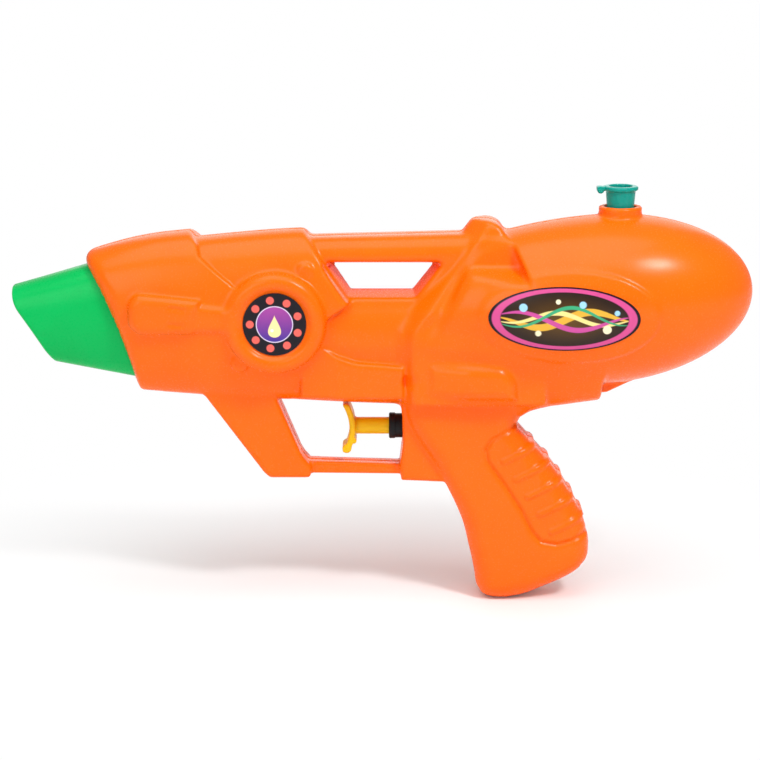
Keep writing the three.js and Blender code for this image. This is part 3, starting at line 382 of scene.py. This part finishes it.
def bodyField(x, y, z):  # the housing's outside: every form blended into the next with a small fillet
    s = shell
    y = np.abs(y)
    hood = softMax(sectionField(s["hood"], x, y, z), -beyond(x, z, s["mouth"], y), np.interp(z, *s["mouthBlend"]))
    hood = softMax(hood, outlineDistance(s["hoodEnd"], x, z), 1.0)
    middle = softMax(endsField(s["middle"], x, y, z, 1), -outlineDistance(s["recess"], x, z), 1.4)
    field = softMin(hood, middle, 0.9)
    sy, sz, across, up = s["bridgeSlope"]
    slope = ((y - sy) * across + (z - sz) * up) / np.hypot(across, up)
    field = softMin(field, softMax(endsField(s["bridge"], x, y, z, 1), slope, 0.6), 1.6)
    ledge = outlineDistance(s["ledge"], x, z)
    field = softMin(field, slabField(ledge, y, np.interp(x, *s["ledgeHalf"]), s["ledgeEdge"]), 0.7)
    handle = outlineDistance(s["handle"], x, z)
    field = softMin(field, slabField(handle, y, s["handleHalf"], s["handleEdge"]), 1.6)
    field = softMin(field, towerField(x, y, z), 1.4)
    field = softMin(field, endsField(s["skirt"], x, y, z, 1.6), 2.0)
    tank = softMax(tankField(x, y, z), -beyond(x, z, s["tank"]["face"]), 4)
    shoulder = softMin(sideOf("shoulder", y, z), -beyond(x, z, s["tankLine"]), 3)
    field = softMin(field, softMax(tank, shoulder, 1.6), 2.6)  # the tank stands back from the tower's shoulder
    field = softMin(field, ribbedGrip(x, y, z), 2.4)
    for name, (half, edge, fillet) in s["slabs"].items():
        corners = rounded(s[name]) if len(s[name][0]) == 3 else s[name]
        field = softMin(field, slabField(outlineDistance(corners, x, z), y, half, edge), fillet)
    lower = outlineDistance(rounded(s["lowerPad"]), x, z)
    field = softMin(field, slabField(lower, y, np.interp(x, *s["lowerPadHalf"]), s["lowerPadEdge"]), 1.6)
    around = np.hypot(x - s["boss"][0], z - s["boss"][1])
    crest, half = (s["bossRadius"] + s["badgeWell"]) / 2, (s["bossRadius"] - s["badgeWell"]) / 2
    field = softMin(field, slabField(np.abs(around - crest) - half, y, s["bossFace"], s["bossEdge"]), 2.0)
    field = softMin(field, np.maximum(around - crest, y - s["badgeFloor"]), 0.4)
    for sx, sz, face in s["studs"]:  # low round stud with a soft edge
        stud = np.hypot(x - sx, z - sz) - s["studRadius"]
        field = softMin(field, slabField(stud, y, face + s["studRise"], s["studEdge"]), 0.9)
    flat = np.hypot((x - s["oval"][0]) / s["ovalPad"][0], (z - s["oval"][1]) / s["ovalPad"][1])
    inner = np.interp(x, *s["ovalStep"])  # the pad's step is a long ramp at the front and a short one at the rear
    ramp = np.clip((1 - flat) / (1 - inner), 0, 1)
    pad = np.maximum(tankField(x, y, z) - s["ovalRise"] * ramp * ramp * (3 - 2 * ramp), (flat - 1) * 16)
    field = softMin(field, softMax(np.maximum(pad, 12 - y), shoulder, 1.6), 0.3)
    dx, dz, long, tall = s["dimple"]
    field = field + s["dimpleDeep"] * np.exp(-np.hypot((x - dx) / long, (z - dz) / tall) ** 4)
    deep, wide = s["notchCut"]
    for line in s["notches"]:
        field = field + deep * np.exp(-(lineDistance(line, x, z) / wide) ** 2)
    back, draft = s["windowDraft"]  # the window's walls open out towards both sides
    field = softMax(field, -(outlineDistance(rounded(s["window"]), x, z) + back - draft * y), 1.8)
    nx, nz, nr = s["neck"]
    neck = slabField(np.hypot(x - nx, y) - nr, np.abs(z - nz + 10), 10, 0.7)
    return softMin(field, neck, 1.2)


# Outside, less the inside a wall's thickness in, less the mouth, the neck's bore and the collar's hole,
# less all past the seam
def shellField(x, y, z):
    s = shell
    outside = bodyField(x, y, z)
    mouth = beyond(x, z, s["mouth"], y)
    inside = softMax(outside + s["wall"], s["lip"] - mouth, 0.4)
    hole = sectionField(muzzle, x, np.abs(y), z) - muzzle["clearance"]
    ahead, behind = s["mouthCut"]
    inside = np.minimum(inside, np.maximum(hole, np.maximum(mouth - s["lip"] - behind, -ahead - mouth)))
    nx, nz, _ = s["neck"]
    drop, reach = s["neckCut"]
    inside = np.minimum(inside, np.maximum(np.hypot(x - nx, y) - s["neckBore"], np.abs(z - nz + drop) - reach))
    pz, pr = s["collar"]
    centre, reach = s["collarCut"]
    inside = np.minimum(inside, np.maximum(np.hypot(z - pz, y) - pr, np.abs(x - centre) - reach))
    return softMax(softMax(outside, -inside, 0.3), y + s["seam"], 0.25)


# One vertex in each grid cell that the surface crosses, at the mean of its edge crossings;
# one quad round each crossed grid edge
def surfaceNet(field, step, origin):
    inside = field < 0
    corner = [(i, j, k) for i in (0, 1) for j in (0, 1) for k in (0, 1)]
    n = np.array(field.shape) - 1
    cut = lambda a, o: a[o[0]:o[0] + n[0], o[1]:o[1] + n[1], o[2]:o[2] + n[2]]
    count = sum(cut(inside, o).astype(np.int8) for o in corner)
    cells = np.argwhere((count > 0) & (count < 8))
    number = np.full(n, -1, np.int32)
    number[tuple(cells.T)] = np.arange(len(cells))
    total, hits = np.zeros((len(cells), 3)), np.zeros((len(cells), 1))
    for a in corner:
        for axis in range(3):
            if a[axis]:
                continue
            b = np.array(a)
            b[axis] = 1
            fa, fb = field[tuple((cells + a).T)], field[tuple((cells + b).T)]
            crossed = (fa < 0) != (fb < 0)
            t = np.where(crossed, fa / np.where(crossed, fa - fb, 1), 0)
            spot = np.array(a, float)[None].repeat(len(cells), 0)
            spot[:, axis] = t
            total += spot * crossed[:, None]
            hits += crossed[:, None]
    points = origin + (cells + total / hits) * step
    faces = []
    for axis in range(3):
        lo, hi = [slice(None)] * 3, [slice(None)] * 3
        lo[axis], hi[axis] = slice(None, -1), slice(1, None)
        edge = np.argwhere(inside[tuple(lo)] != inside[tuple(hi)])
        u, v = (axis + 1) % 3, (axis + 2) % 3
        edge = edge[(edge[:, u] > 0) & (edge[:, v] > 0) & (edge[:, u] < n[u]) & (edge[:, v] < n[v])]
        first = inside[tuple(edge.T)]
        ring = []
        for du, dv in ((0, 0), (-1, 0), (-1, -1), (0, -1)):
            c = edge.copy()
            c[:, u] += du
            c[:, v] += dv
            ring.append(number[tuple(c.T)])
        quad = np.stack(ring, 1)
        faces.append(np.where(first[:, None], quad, quad[:, ::-1]))
    return points, np.concatenate(faces)


def settle(form, points, rounds=3, reach=0.3):  # moves each vertex along the slope of the field on to the surface
    e = 0.04
    for _ in range(rounds):
        x, y, z = points.T
        value = form(x, y, z)
        ahead = form(x + e, y, z), form(x, y + e, z), form(x, y, z + e)
        slope = np.stack([near - value for near in ahead], 1) / e
        move = value[:, None] * slope / np.maximum((slope ** 2).sum(1, keepdims=True), 0.3)
        points = points - np.clip(move, -reach, reach)
    return points


def netOf(form, low, high, step):  # a closed skin over the zero of a field inside a box
    xs, ys, zs = (np.arange(a - 2 * step, b + 2 * step, step) for a, b in zip(low, high))
    y, z = ys[None, :, None], zs[None, None, :]
    field = np.concatenate([form(part[:, None, None], y, z) for part in np.array_split(xs, 12)])
    points, faces = surfaceNet(field, step, np.array([xs[0], ys[0], zs[0]]))
    return settle(form, points), faces


shellPoints, shellFaces = netOf(shellField, (-112.5, -33, -0.5), (142.5, 0, 151), shell["step"])
shellInner = bodyField(*shellPoints.T) < -0.9
print("housing net:", len(shellPoints), "points", len(shellFaces), "quads", int(shellInner.sum()), "inner points")


def addShell(name, side, node):  # the inner wall, which no one sees, is thinned; the outer skin keeps every point
    points = shellPoints * np.array([1, side, 1])
    faces = shellFaces if side > 0 else shellFaces[:, ::-1]
    piece = addPiece(name, points, faces, orangePlastic, "body", [node], "orange_plastic")
    group = piece.vertex_groups.new(name="innerWall")
    group.add(np.flatnonzero(shellInner).tolist(), 1.0, "REPLACE")
    thin = piece.modifiers.new("thinInnerWall", "DECIMATE")
    thin.vertex_group = "innerWall"
    thin.ratio = min(1.0, shell["triangles"] / (2 * len(shellFaces)))
    bpy.context.view_layer.update()
    mesh = bpy.data.meshes.new_from_object(piece.evaluated_get(bpy.context.evaluated_depsgraph_get()))
    piece.modifiers.clear()
    piece.vertex_groups.clear()
    piece.data = mesh
    mesh.polygons.foreach_set("use_smooth", np.ones(len(mesh.polygons), bool))
    print(name, len(mesh.polygons), "faces")


addShell("leftBodyHalf", 1, "left_body_half")
addShell("rightBodyHalf", -1, "right_body_half")


def muzzleRing(turn, x, grow):  # a point of the muzzle's section at x, for an angle round it
    top, bottom, half, middle = sectionParts(muzzle, x)
    s, c = np.sin(turn), np.cos(turn)
    n = np.where(s >= 0, muzzle["upper"], muzzle["lower"])
    rise, side = np.sign(s) * np.abs(s) ** (2 / n), np.sign(c) * np.abs(c) ** (2 / n)
    side = side * np.where(s >= 0, 1, 1 + muzzle["drawIn"] * rise)
    reach = np.where(s >= 0, top + grow - middle, middle - bottom + grow)
    return side * (half + grow), middle + rise * reach


def muzzleSkin(turn, share, grow):  # share 0 lies in the slanted front plane, share 1 in the plane behind the mouth
    front, back = np.full_like(turn, muzzle["front"][0]), np.full_like(turn, shell["mouth"][0])
    for _ in range(12):  # steps on to each plane along X
        y, z = muzzleRing(turn, front, grow)
        front = front - beyond(front, z, muzzle["front"], y) * 0.8
        y, z = muzzleRing(turn, back, grow)
        back = back - (beyond(back, z, shell["mouth"], y) - muzzle["inMouth"]) * 0.8
    rise = np.sign(np.sin(turn)) * np.abs(np.sin(turn)) ** (2 / 3)
    for sign, (start, depth) in ((1, muzzle["tip"]), (-1, muzzle["foot"])):  # rounds the front's upper and lower corners
        front = front + depth * np.clip((sign * rise - start) / (1 - start), 0, 1) ** 2
    x = front + (back - front) * share
    y, z = muzzleRing(turn, x, grow)
    return np.stack([x, y, z], -1)


# Outside from the back to the front, over a rounded rim, and back along the inside, then the web that holds the jet:
# rings from the jet's hole out to the wall on its front face, and back on the rear one
def buildMuzzle():
    m = muzzle
    w, rows, rim = m["wall"], m["rows"], m["rim"]
    turns = np.linspace(0, 2 * np.pi, m["turns"], endpoint=False)
    bend = np.linspace(0, np.pi, 9)[1:-1]
    share = np.concatenate([np.linspace(1, rim, rows), rim - rim * np.sin(bend), np.linspace(rim, 1, rows)])[:, None]
    grow = np.concatenate([np.zeros(rows), -w / 2 + w / 2 * np.cos(bend), np.full(rows, -w)])[:, None]
    turn, share, grow = np.broadcast_arrays(turns[None, :], share, grow)
    points = muzzleSkin(turn.ravel(), share.ravel(), grow.ravel())
    faces = gridFaces(*turn.shape, closeRows=True, closeColumns=True)
    far = np.concatenate([np.linspace(0, 1, m["webRows"]), np.linspace(1, 0, m["webRows"])])[:, None]
    x = np.repeat([m["webX"], m["webX"] + m["webThickness"]], m["webRows"])[:, None]
    y, z = muzzleRing(turns[None, :], x, m["clearance"] - w)
    hole = m["jetRadius"] + m["clearance"]
    y = hole * np.cos(turns) * (1 - far) + y * far
    z = m["jetZ"] + hole * np.sin(turns) * (1 - far) + (z - m["jetZ"]) * far
    web = np.stack([np.broadcast_to(x, y.shape), y, z], -1).reshape(-1, 3)
    webFaces = gridFaces(*y.shape, closeRows=True, closeColumns=True, start=len(points))[:, ::-1]
    return np.concatenate([points, web]), np.concatenate([faces, webFaces])


addPiece("muzzleHood", *buildMuzzle(), greenPlastic, "body", ["muzzle_hood"], "green_plastic", crease=50)
print("muzzle hood made")


def turned(profile, height, count=64):  # a profile of (along, radius) carried round X; it closes on itself
    profile = np.asarray(profile, float)
    turn = np.linspace(0, 2 * np.pi, count, endpoint=False)
    along, radius = profile[:, :1] + 0 * turn, profile[:, 1:]
    points = np.stack([along, radius * np.cos(turn), height + radius * np.sin(turn)], -1)
    return points.reshape(-1, 3), gridFaces(len(profile), count, closeRows=True, closeColumns=True)


# A ring carried along a path in frames turned towards the seam's normal, outside and back along the bore
def tube(path, radius, bore, count=20):
    path = np.asarray(path, float)
    run = np.gradient(path, axis=0)
    run /= np.linalg.norm(run, axis=1, keepdims=True)
    side = np.cross(run, np.cross([0, 1.0, 0], run))
    side /= np.linalg.norm(side, axis=1, keepdims=True)
    up = np.cross(run, side)
    turn = np.linspace(0, 2 * np.pi, count, endpoint=False)[None, :, None]
    ring = side[:, None] * np.cos(turn) + up[:, None] * np.sin(turn)
    out, inner = path[:, None] + radius * ring, path[:, None] + bore * ring
    points = np.concatenate([out, inner[::-1]])
    return points.reshape(-1, 3), gridFaces(len(points), count, closeRows=True, closeColumns=True)


jet = {"x": -112, "length": 12, "radius": 2.3, "bore": 0.7, "z": 106, "barb": 1.4, "barbLength": 4.6}


def jetProfile():
    r, bore, barb = jet["radius"], jet["bore"], jet["barb"]
    front, seat = jet["x"] - jet["length"], jet["x"] + 2.1
    rear = seat + 1.5
    end = rear + jet["barbLength"]
    return [(front + 1.2, bore), (front + 0.1, 1.1), (front, r - 0.7), (front + 0.2, r - 0.3), (front + 0.8, r),
            (seat, r), (seat, r + 2), (rear, r + 2), (rear, barb), (end, barb), (end, bore)]


addPiece("nozzleJet", *turned(jetProfile(), jet["z"]), blackPlastic, "body", ["nozzle_jet"],
         "black_plastic", crease=35)

pump = {"z": 66.3, "collar": (3.4, 11.0, 4.95), "rod": 3.2, "clearance": 0.3, "piston": (13.4, 17.4, 4.0),
        "spring": (17.7, 35.1), "wire": 0.35, "coil": 3.55, "turns": 6}


def collarProfile():  # a lip at the front, then the barrel of the collar
    a, b, r = pump["collar"]
    bore = pump["rod"] + pump["clearance"]
    return [(a, bore + 0.3), (a, r - 0.6), (a + 0.15, r - 0.2), (a + 0.4, r), (a + 2.2, r), (a + 2.4, r - 0.25),
            (a + 2.8, r - 0.3), (b, r - 0.3), (b, bore), (a + 0.3, bore)]


addPiece("pumpCollar", *turned(collarProfile(), pump["z"]), blackPlastic, "body", ["pump_collar"],
         "black_plastic", crease=35)

lever = {"x": -9.3, "hollow": 2.6, "thickness": 2.3, "low": 56.8, "high": 75.5, "half": 5.0, "edge": 0.7,
         "heel": (-12.6, 58.2, 1.7), "spur": (-9.9, 61.2, 1.0), "beadEdge": 0.6, "rod": (2.0, 12.4), "groove": (1.2, 0.9)}


def triggerField(x, y, z):  # finger plate bent as a parabola, its rod and the piston with the seal's groove
    t, p = lever, pump
    middle, half = (t["low"] + t["high"]) / 2, (t["high"] - t["low"]) / 2
    w = np.clip((z - middle) / half, -1.1, 1.1)
    lean = 2 * t["hollow"] * w / half
    off = (x - t["x"] + t["thickness"] / 2 + t["hollow"] * w ** 2) / np.sqrt(1 + lean ** 2)
    edge, bead = t["edge"], t["beadEdge"]
    a, b = np.abs(off) - t["thickness"] / 2 + edge, np.abs(y) - t["half"] + edge
    c = np.abs(z - middle) - half + edge
    outer = np.sqrt(np.maximum(a, 0) ** 2 + np.maximum(b, 0) ** 2 + np.maximum(c, 0) ** 2)
    plate = np.minimum(np.maximum(np.maximum(a, b), c), 0) + outer - edge
    for name in ("heel", "spur"):  # a thicker lower end, and a small bead behind it
        cx, cz, radius = t[name]
        wide, deep = np.hypot(x - cx, z - cz) - radius + bead, np.abs(y) - t["half"] + bead
        plate = softMin(plate, np.hypot(np.maximum(wide, 0), np.maximum(deep, 0)) - bead, 0.5)
    around = np.hypot(y, z - p["z"])
    centre, reach = t["rod"]
    rod = np.maximum(around - p["rod"], np.abs(x - centre) - reach)
    lo, hi, r = p["piston"]
    seat = (lo + hi) / 2
    piston = np.maximum(around - r, np.abs(x - seat) - (hi - lo) / 2)
    deep, wide = t["groove"]
    piston = np.maximum(piston, -np.maximum(r - deep - around, np.abs(x - seat) - wide))
    return np.minimum(softMin(plate, rod, 1.2), piston)


addPiece("trigger", *netOf(triggerField, (-14.5, -5.2, 56), (17.6, 5.2, 75.7), 0.3), yellowPlastic, "trigger",
         ["trigger"], "yellow_plastic")
print("trigger made")

plug = {"x": 89.7, "neckTop": 150.74, "radius": 5.6, "wall": 1.3, "depth": 8.0, "stand": 7.4, "flange": 6.5,
        "flangeThickness": 1.5, "tab": (8.9, 2.0), "hook": (1.3, 0.6), "edge": 0.5}


def plugField(x, y, z):  # a cup that narrows downwards, its flange and pull tab
    k = plug
    r, edge, thick = k["radius"], k["edge"], k["flangeThickness"] / 2
    low, high = k["neckTop"] - k["depth"], k["neckTop"] + k["stand"]
    around = np.hypot(x - k["x"], y)
    radius = np.interp(z, [low, low + 1.2, k["neckTop"], high], [r - 1.3, r - 0.7, r - 0.5, r + 0.1])
    cup = softMax(around - radius, np.abs(z - (low + high) / 2) - (high - low) / 2, 0.5)
    middle = high - thick
    flange = slabField(around - k["flange"], np.abs(z - middle), thick, edge)
    far, half = k["tab"]
    flat = np.maximum(np.abs(y) - half, np.maximum(x - k["x"], k["x"] - far - x))
    tab = slabField(flat, np.abs(z - middle), thick, edge)
    bead, drop = k["hook"]  # the tab's end is a thick bead that hangs down a little
    hook = slabField(np.hypot(x - k["x"] + far - bead, z - middle + drop) - bead, np.abs(y), half, edge)
    tab = softMin(tab, hook, 0.4)
    bore = np.interp(z, [low, high], [r - k["wall"] - 0.9, r - k["wall"]])
    well = np.maximum(around - bore, low + 2 - z)
    return softMax(softMin(softMin(cup, flange, 0.6), tab, 0.5), -well, 0.5)


addPiece("fillerPlug", *netOf(plugField, (80.6, -6.8, 142.5), (96.5, 6.8, 158.4), 0.3), tealPlastic, "plug",
         ["filler_plug"], "teal_plastic")
print("filler plug made")


def mask(distance, soft=0.08):  # 1 inside a shape, 0 outside, over a soft edge
    return np.clip(0.5 - distance / (2 * soft), 0, 1)[..., None]


def over(ink, colour, cover):
    return ink * (1 - cover) + np.asarray(colour if not isinstance(colour, str) else linear(colour)) * cover


badge = {"centre": (-38.9, 109.6), "radius": 11.7, "floor": 19.7, "thickness": 0.4,
         "dots": 9, "dotRing": 9.1, "dotRadius": 1.45, "core": 6.7, "lineHalf": 0.16,
         "dropSize": (2.5, 4.4), "glint": (-0.9, -2.3, 0.55),
         "ground": "#17131C", "dot": "#F0665C", "line": "#E6D8F0", "low": "#3D3192", "high": "#A8489C", "drop": "#FFE7A2"}


# Ring of dots round a shaded disc with a water drop; the drop's half width is a(1+t)^1/2 (1-t)^3/2
def badgeInk(u, w):
    b = badge
    r, turn = np.hypot(u, w), np.arctan2(w, u)
    ink = np.zeros(u.shape + (4,)) + linear(b["ground"])
    part = 2 * np.pi / b["dots"]
    a = np.mod(turn, part) - part / 2
    ink = over(ink, b["dot"], mask(np.hypot(r * np.cos(a) - b["dotRing"], r * np.sin(a)) - b["dotRadius"]))
    shade = np.clip((w + b["core"]) / (2 * b["core"]), 0, 1)[..., None]
    tone = np.asarray(linear(b["low"])) * (1 - shade) + np.asarray(linear(b["high"])) * shade
    ink = over(ink, tone, mask(r - b["core"]))
    ink = over(ink, b["line"], mask(np.abs(r - b["core"]) - b["lineHalf"]))
    wide, tall = b["dropSize"]
    t = np.clip((w + 0.5) / tall, -1, 1)
    ink = over(ink, b["drop"], mask((np.abs(u) + 0.12 - wide * np.sqrt(1 + t) * (1 - t) ** 1.5 / 1.3) * 0.8))
    gu, gw, radius = b["glint"]
    return over(ink, "#FFFFFF", mask(np.hypot(u - gu, w - gw) - radius))


# Polar grid over the face, and a thin edge down to the floor
def addBadge(name, node, side, centre, reach, faceOf, floorOf, inkOf, rings=110, count=360):
    turns = np.linspace(0, 2 * np.pi, count, endpoint=False)
    far, turn = np.meshgrid(np.linspace(0.002, 1, rings), turns, indexing="ij")
    u, w = reach[0] * far * np.cos(turn), reach[1] * far * np.sin(turn)
    x, z = centre[0] + u, centre[1] + w
    xs, zs = (np.concatenate([a, a[-1:], a[-1:], a[:1]]) for a in (x, z))
    edge = faceOf(x[-1:], z[-1:]) - 0.02
    ys = np.concatenate([faceOf(x, z), edge, floorOf(x[-1:], z[-1:]), floorOf(x[:1], z[:1])])
    ink = inkOf(xs - centre[0], zs - centre[1])
    points = np.stack([xs, side * ys, zs], -1).reshape(-1, 3)
    faces = gridFaces(len(xs), count, closeRows=True, closeColumns=True)
    addPiece(name, points, faces, labelVinyl, "body", [node], "printed_label", ink=ink.reshape(-1, 4), crease=40)


oval = {"centre": (67.2, 113.4), "reach": (27.6, 11.9), "rise": 1.0, "thickness": 0.4,
        "ground": "#15121A", "glow": "#6A4A1C", "border": "#D2508E", "inner": 0.84, "borderAt": (0.902, 0.056),
        "bands": [(0.0, 3.4, 6.8, 1.5, "#E3AE3C"), (2.1, 2.6, 6.0, 0.9, "#F2DE8E"), (4.0, 3.9, 8.2, 1.0, "#C94F9A"),
                  (1.2, 4.6, 7.4, 0.7, "#3FA878")],  # phase, lift, run, half width
        "drops": [(-15, 4.2, 1.5, "#9FD3F2"), (-9.5, -5.2, 1.1, "#F4E9C4"), (6.5, 5.6, 1.3, "#9FD3F2"),
                  (15.5, -3.6, 1.6, "#F4E9C4"), (19, 2.6, 1.0, "#9FD3F2"), (-2.4, 6.6, 0.9, "#F4E9C4")]}


def ovalInk(u, w):  # pink border, flowing sine bands that taper to their ends on a dark ground, and a few drops
    e = np.hypot(u / oval["reach"][0], w / oval["reach"][1])
    ink = np.zeros(u.shape + (4,)) + linear(oval["ground"])
    taper = np.clip(1 - (u / 25) ** 2, 0, 1)
    ink = over(ink, oval["glow"], np.exp(-(e / 0.62) ** 2)[..., None] * 0.75)
    for phase, lift, run, half, colour in oval["bands"]:
        centre = lift * np.sin(u / run + phase) * (0.35 + 0.65 * taper)
        ink = over(ink, colour, mask((np.abs(w - centre) - half * taper) * 0.8))
    for du, dw, r, colour in oval["drops"]:
        ink = over(ink, colour, mask(np.hypot(u - du, w - dw) - r))
    ink = over(ink, oval["ground"], mask(oval["inner"] - e, 0.006))
    middle, half = oval["borderAt"]
    return over(ink, oval["border"], mask(np.abs(e - middle) - half, 0.006))


def tankSide(x, z, grow):  # the egg's half width at a point of the side plane
    u, v, long = tankAxes(x, z)
    tall, wide = shell["tank"]["radius"] + grow, shell["tank"]["half"] + grow
    return wide * np.sqrt(1 - (u / (long + grow)) ** 2 - (v / tall) ** 2)


for sideName, side in (("left", -1), ("right", 1)):
    flip = -side  # the print reads the same way from either side
    addBadge(sideName + "RoundBadge", "round_badge_" + sideName, side, badge["centre"], (badge["radius"],) * 2,
             lambda x, z: 0 * x + badge["floor"] + badge["thickness"], lambda x, z: 0 * x + badge["floor"],
             lambda u, w: badgeInk(flip * u, w))
    addBadge(sideName + "OvalBadge", "oval_badge_" + sideName, side, oval["centre"], oval["reach"],
             lambda x, z: tankSide(x, z, oval["rise"] + oval["thickness"]), lambda x, z: tankSide(x, z, oval["rise"]),
             lambda u, w: ovalInk(flip * u, w))
print("badges made")


def springPath():  # helix on the pump's axis
    wire, coil = pump["wire"], pump["coil"]
    t = np.linspace(0, 1, pump["turns"] * 24)
    a, b = pump["spring"]
    turn = 2 * np.pi * pump["turns"] * t
    return np.stack([a + wire + (b - a - 2 * wire) * t, coil * np.cos(turn), pump["z"] + coil * np.sin(turn)], 1)


spring = addPiece("returnSpring", *tube(springPath(), pump["wire"], 0.02, 12), springWire, "body",
                  ["return_spring"], "steel")
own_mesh(spring)

hoses = {"radius": 2.5, "bore": 1.7,
         "delivery": [(41.5, 79), (41.5, 82.7), (41.5, 86.7), (33.5, 95.7), (13.5, 97.7), (-30, 100), (-70, 105),
                      (-94.2, 106), (-107, 106)],
         "suction": [(41.5, 57.6), (41.5, 53.9), (41.5, 49.9), (44.5, 33.9), (48, 6.8)]}


def hosePath(points, count):  # smooth curve through the route's points, by the length along them
    p = np.array(points, float)
    along = np.concatenate([[0], np.cumsum(np.linalg.norm(np.diff(p, axis=0), axis=1))])
    s = np.linspace(0, along[-1], count)
    return np.stack([through(along, p[:, 0], s), 0 * s, through(along, p[:, 1], s)], 1)


for route, count in (("delivery", 120), ("suction", 40)):
    addPiece(route + "Hose", *tube(hosePath(hoses[route], count), hoses["radius"], hoses["bore"]), softHose, "body",
             [route + "_hose"], "clear_hose", crease=50)

hidden = {"pump_cylinder": milkyPlastic, "gland_gasket": blackRubber, "valve_block": milkyPlastic,
          "inlet_fitting": milkyPlastic, "outlet_fitting": milkyPlastic, "inlet_ball": springWire,
          "outlet_ball": springWire, "piston_seal": blackRubber}
for node, material in hidden.items():
    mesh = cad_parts[node].data  # hidden inside, so the CAD solid stays
    mesh.materials.clear()
    mesh.materials.append(material)
print("pump made")

# Stage: pale floor that turns white away from the object, soft studio light
view = {"target": (0, 0, 0.084), "elevation": 13, "distance": 0.85, "lens": 106.0}
lights = {"topLight": ((-0.1, -0.3, 1.2), 1.0, 8.2), "keyLight": ((-0.7, -1.3, 0.7), 0.8, 5.4),
          "softBox": ((0.54, -0.62, 0.94), 0.2, 7.2), "backLight": ((0.1, 1.3, 0.7), 1.2, 5.0)}  # place, size, power


def buildFloor():
    mat, tree = emptyMaterial("paleFloor")
    place = addNode(tree, "ShaderNodeTexCoord")
    far = addNode(tree, "ShaderNodeVectorMath", {"operation": "LENGTH"}, {0: (place, "Object")})
    span = {"interpolation_type": "SMOOTHSTEP", "From Min": 0.02, "From Max": 0.24}
    fade = addNode(tree, "ShaderNodeMapRange", span, {"Value": (far, "Value")})
    paint = addNode(tree, "ShaderNodeBsdfDiffuse", {"Color": linear("#F4F4F4")})
    ray = addNode(tree, "ShaderNodeLightPath")
    seen = addNode(tree, "ShaderNodeMath", {"operation": "MULTIPLY"}, {0: (fade, 0), 1: (ray, "Is Camera Ray")})
    white = addNode(tree, "ShaderNodeEmission", {"Strength": 1.0})
    mix = addNode(tree, "ShaderNodeMixShader", {}, {0: (seen, 0), 1: (paint, 0), 2: (white, 0)})
    addNode(tree, "ShaderNodeOutputMaterial", {}, {"Surface": (mix, 0)})
    size = np.linspace(-4, 4, 9)
    x, y = np.meshgrid(size, size, indexing="ij")
    mesh = bpy.data.meshes.new("floor")
    mesh.from_pydata(np.stack([x, y, 0 * x], -1).reshape(-1, 3), [], gridFaces(9, 9)[:, ::-1].tolist())
    mesh.materials.append(mat)
    floor = bpy.data.objects.new("floor", mesh)
    bpy.context.scene.collection.objects.link(floor)


def buildLight():
    world = bpy.data.worlds.new("studio")
    bpy.context.scene.world = world
    world.use_nodes = True
    tree = world.node_tree
    tree.nodes.clear()
    ray = addNode(tree, "ShaderNodeLightPath")
    level = addNode(tree, "ShaderNodeMapRange", {"To Min": 0.35, "To Max": 1.0}, {"Value": (ray, "Is Camera Ray")})
    sky = addNode(tree, "ShaderNodeBackground", {"Color": (1, 1, 1, 1)}, {"Strength": (level, 0)})
    addNode(tree, "ShaderNodeOutputWorld", {}, {"Surface": (sky, 0)})
    for name, (place, size, power) in lights.items():
        lamp = bpy.data.lights.new(name, "AREA")
        lamp.energy, lamp.size = power, size
        light = bpy.data.objects.new(name, lamp)
        bpy.context.scene.collection.objects.link(light)
        light.location = place
        aim = np.array([0, 0, 0.09]) - np.array(place)
        light.rotation_euler = (np.arccos(-aim[2] / np.linalg.norm(aim)), 0, np.arctan2(aim[1], aim[0]) - np.pi / 2)


def buildCamera():
    e = np.radians(view["elevation"])
    camera = bpy.data.objects.new("camera", bpy.data.cameras.new("camera"))
    bpy.context.scene.collection.objects.link(camera)
    camera.data.lens, camera.data.sensor_width = view["lens"], 36.0
    camera.location = np.array(view["target"]) + view["distance"] * np.array([0, -np.cos(e), np.sin(e)])
    camera.rotation_euler = (np.pi / 2 - e, 0, 0)
    bpy.context.scene.camera = camera
    bpy.context.scene.view_settings.view_transform = "Standard"


buildFloor()
buildLight()
buildCamera()
print("stage made")
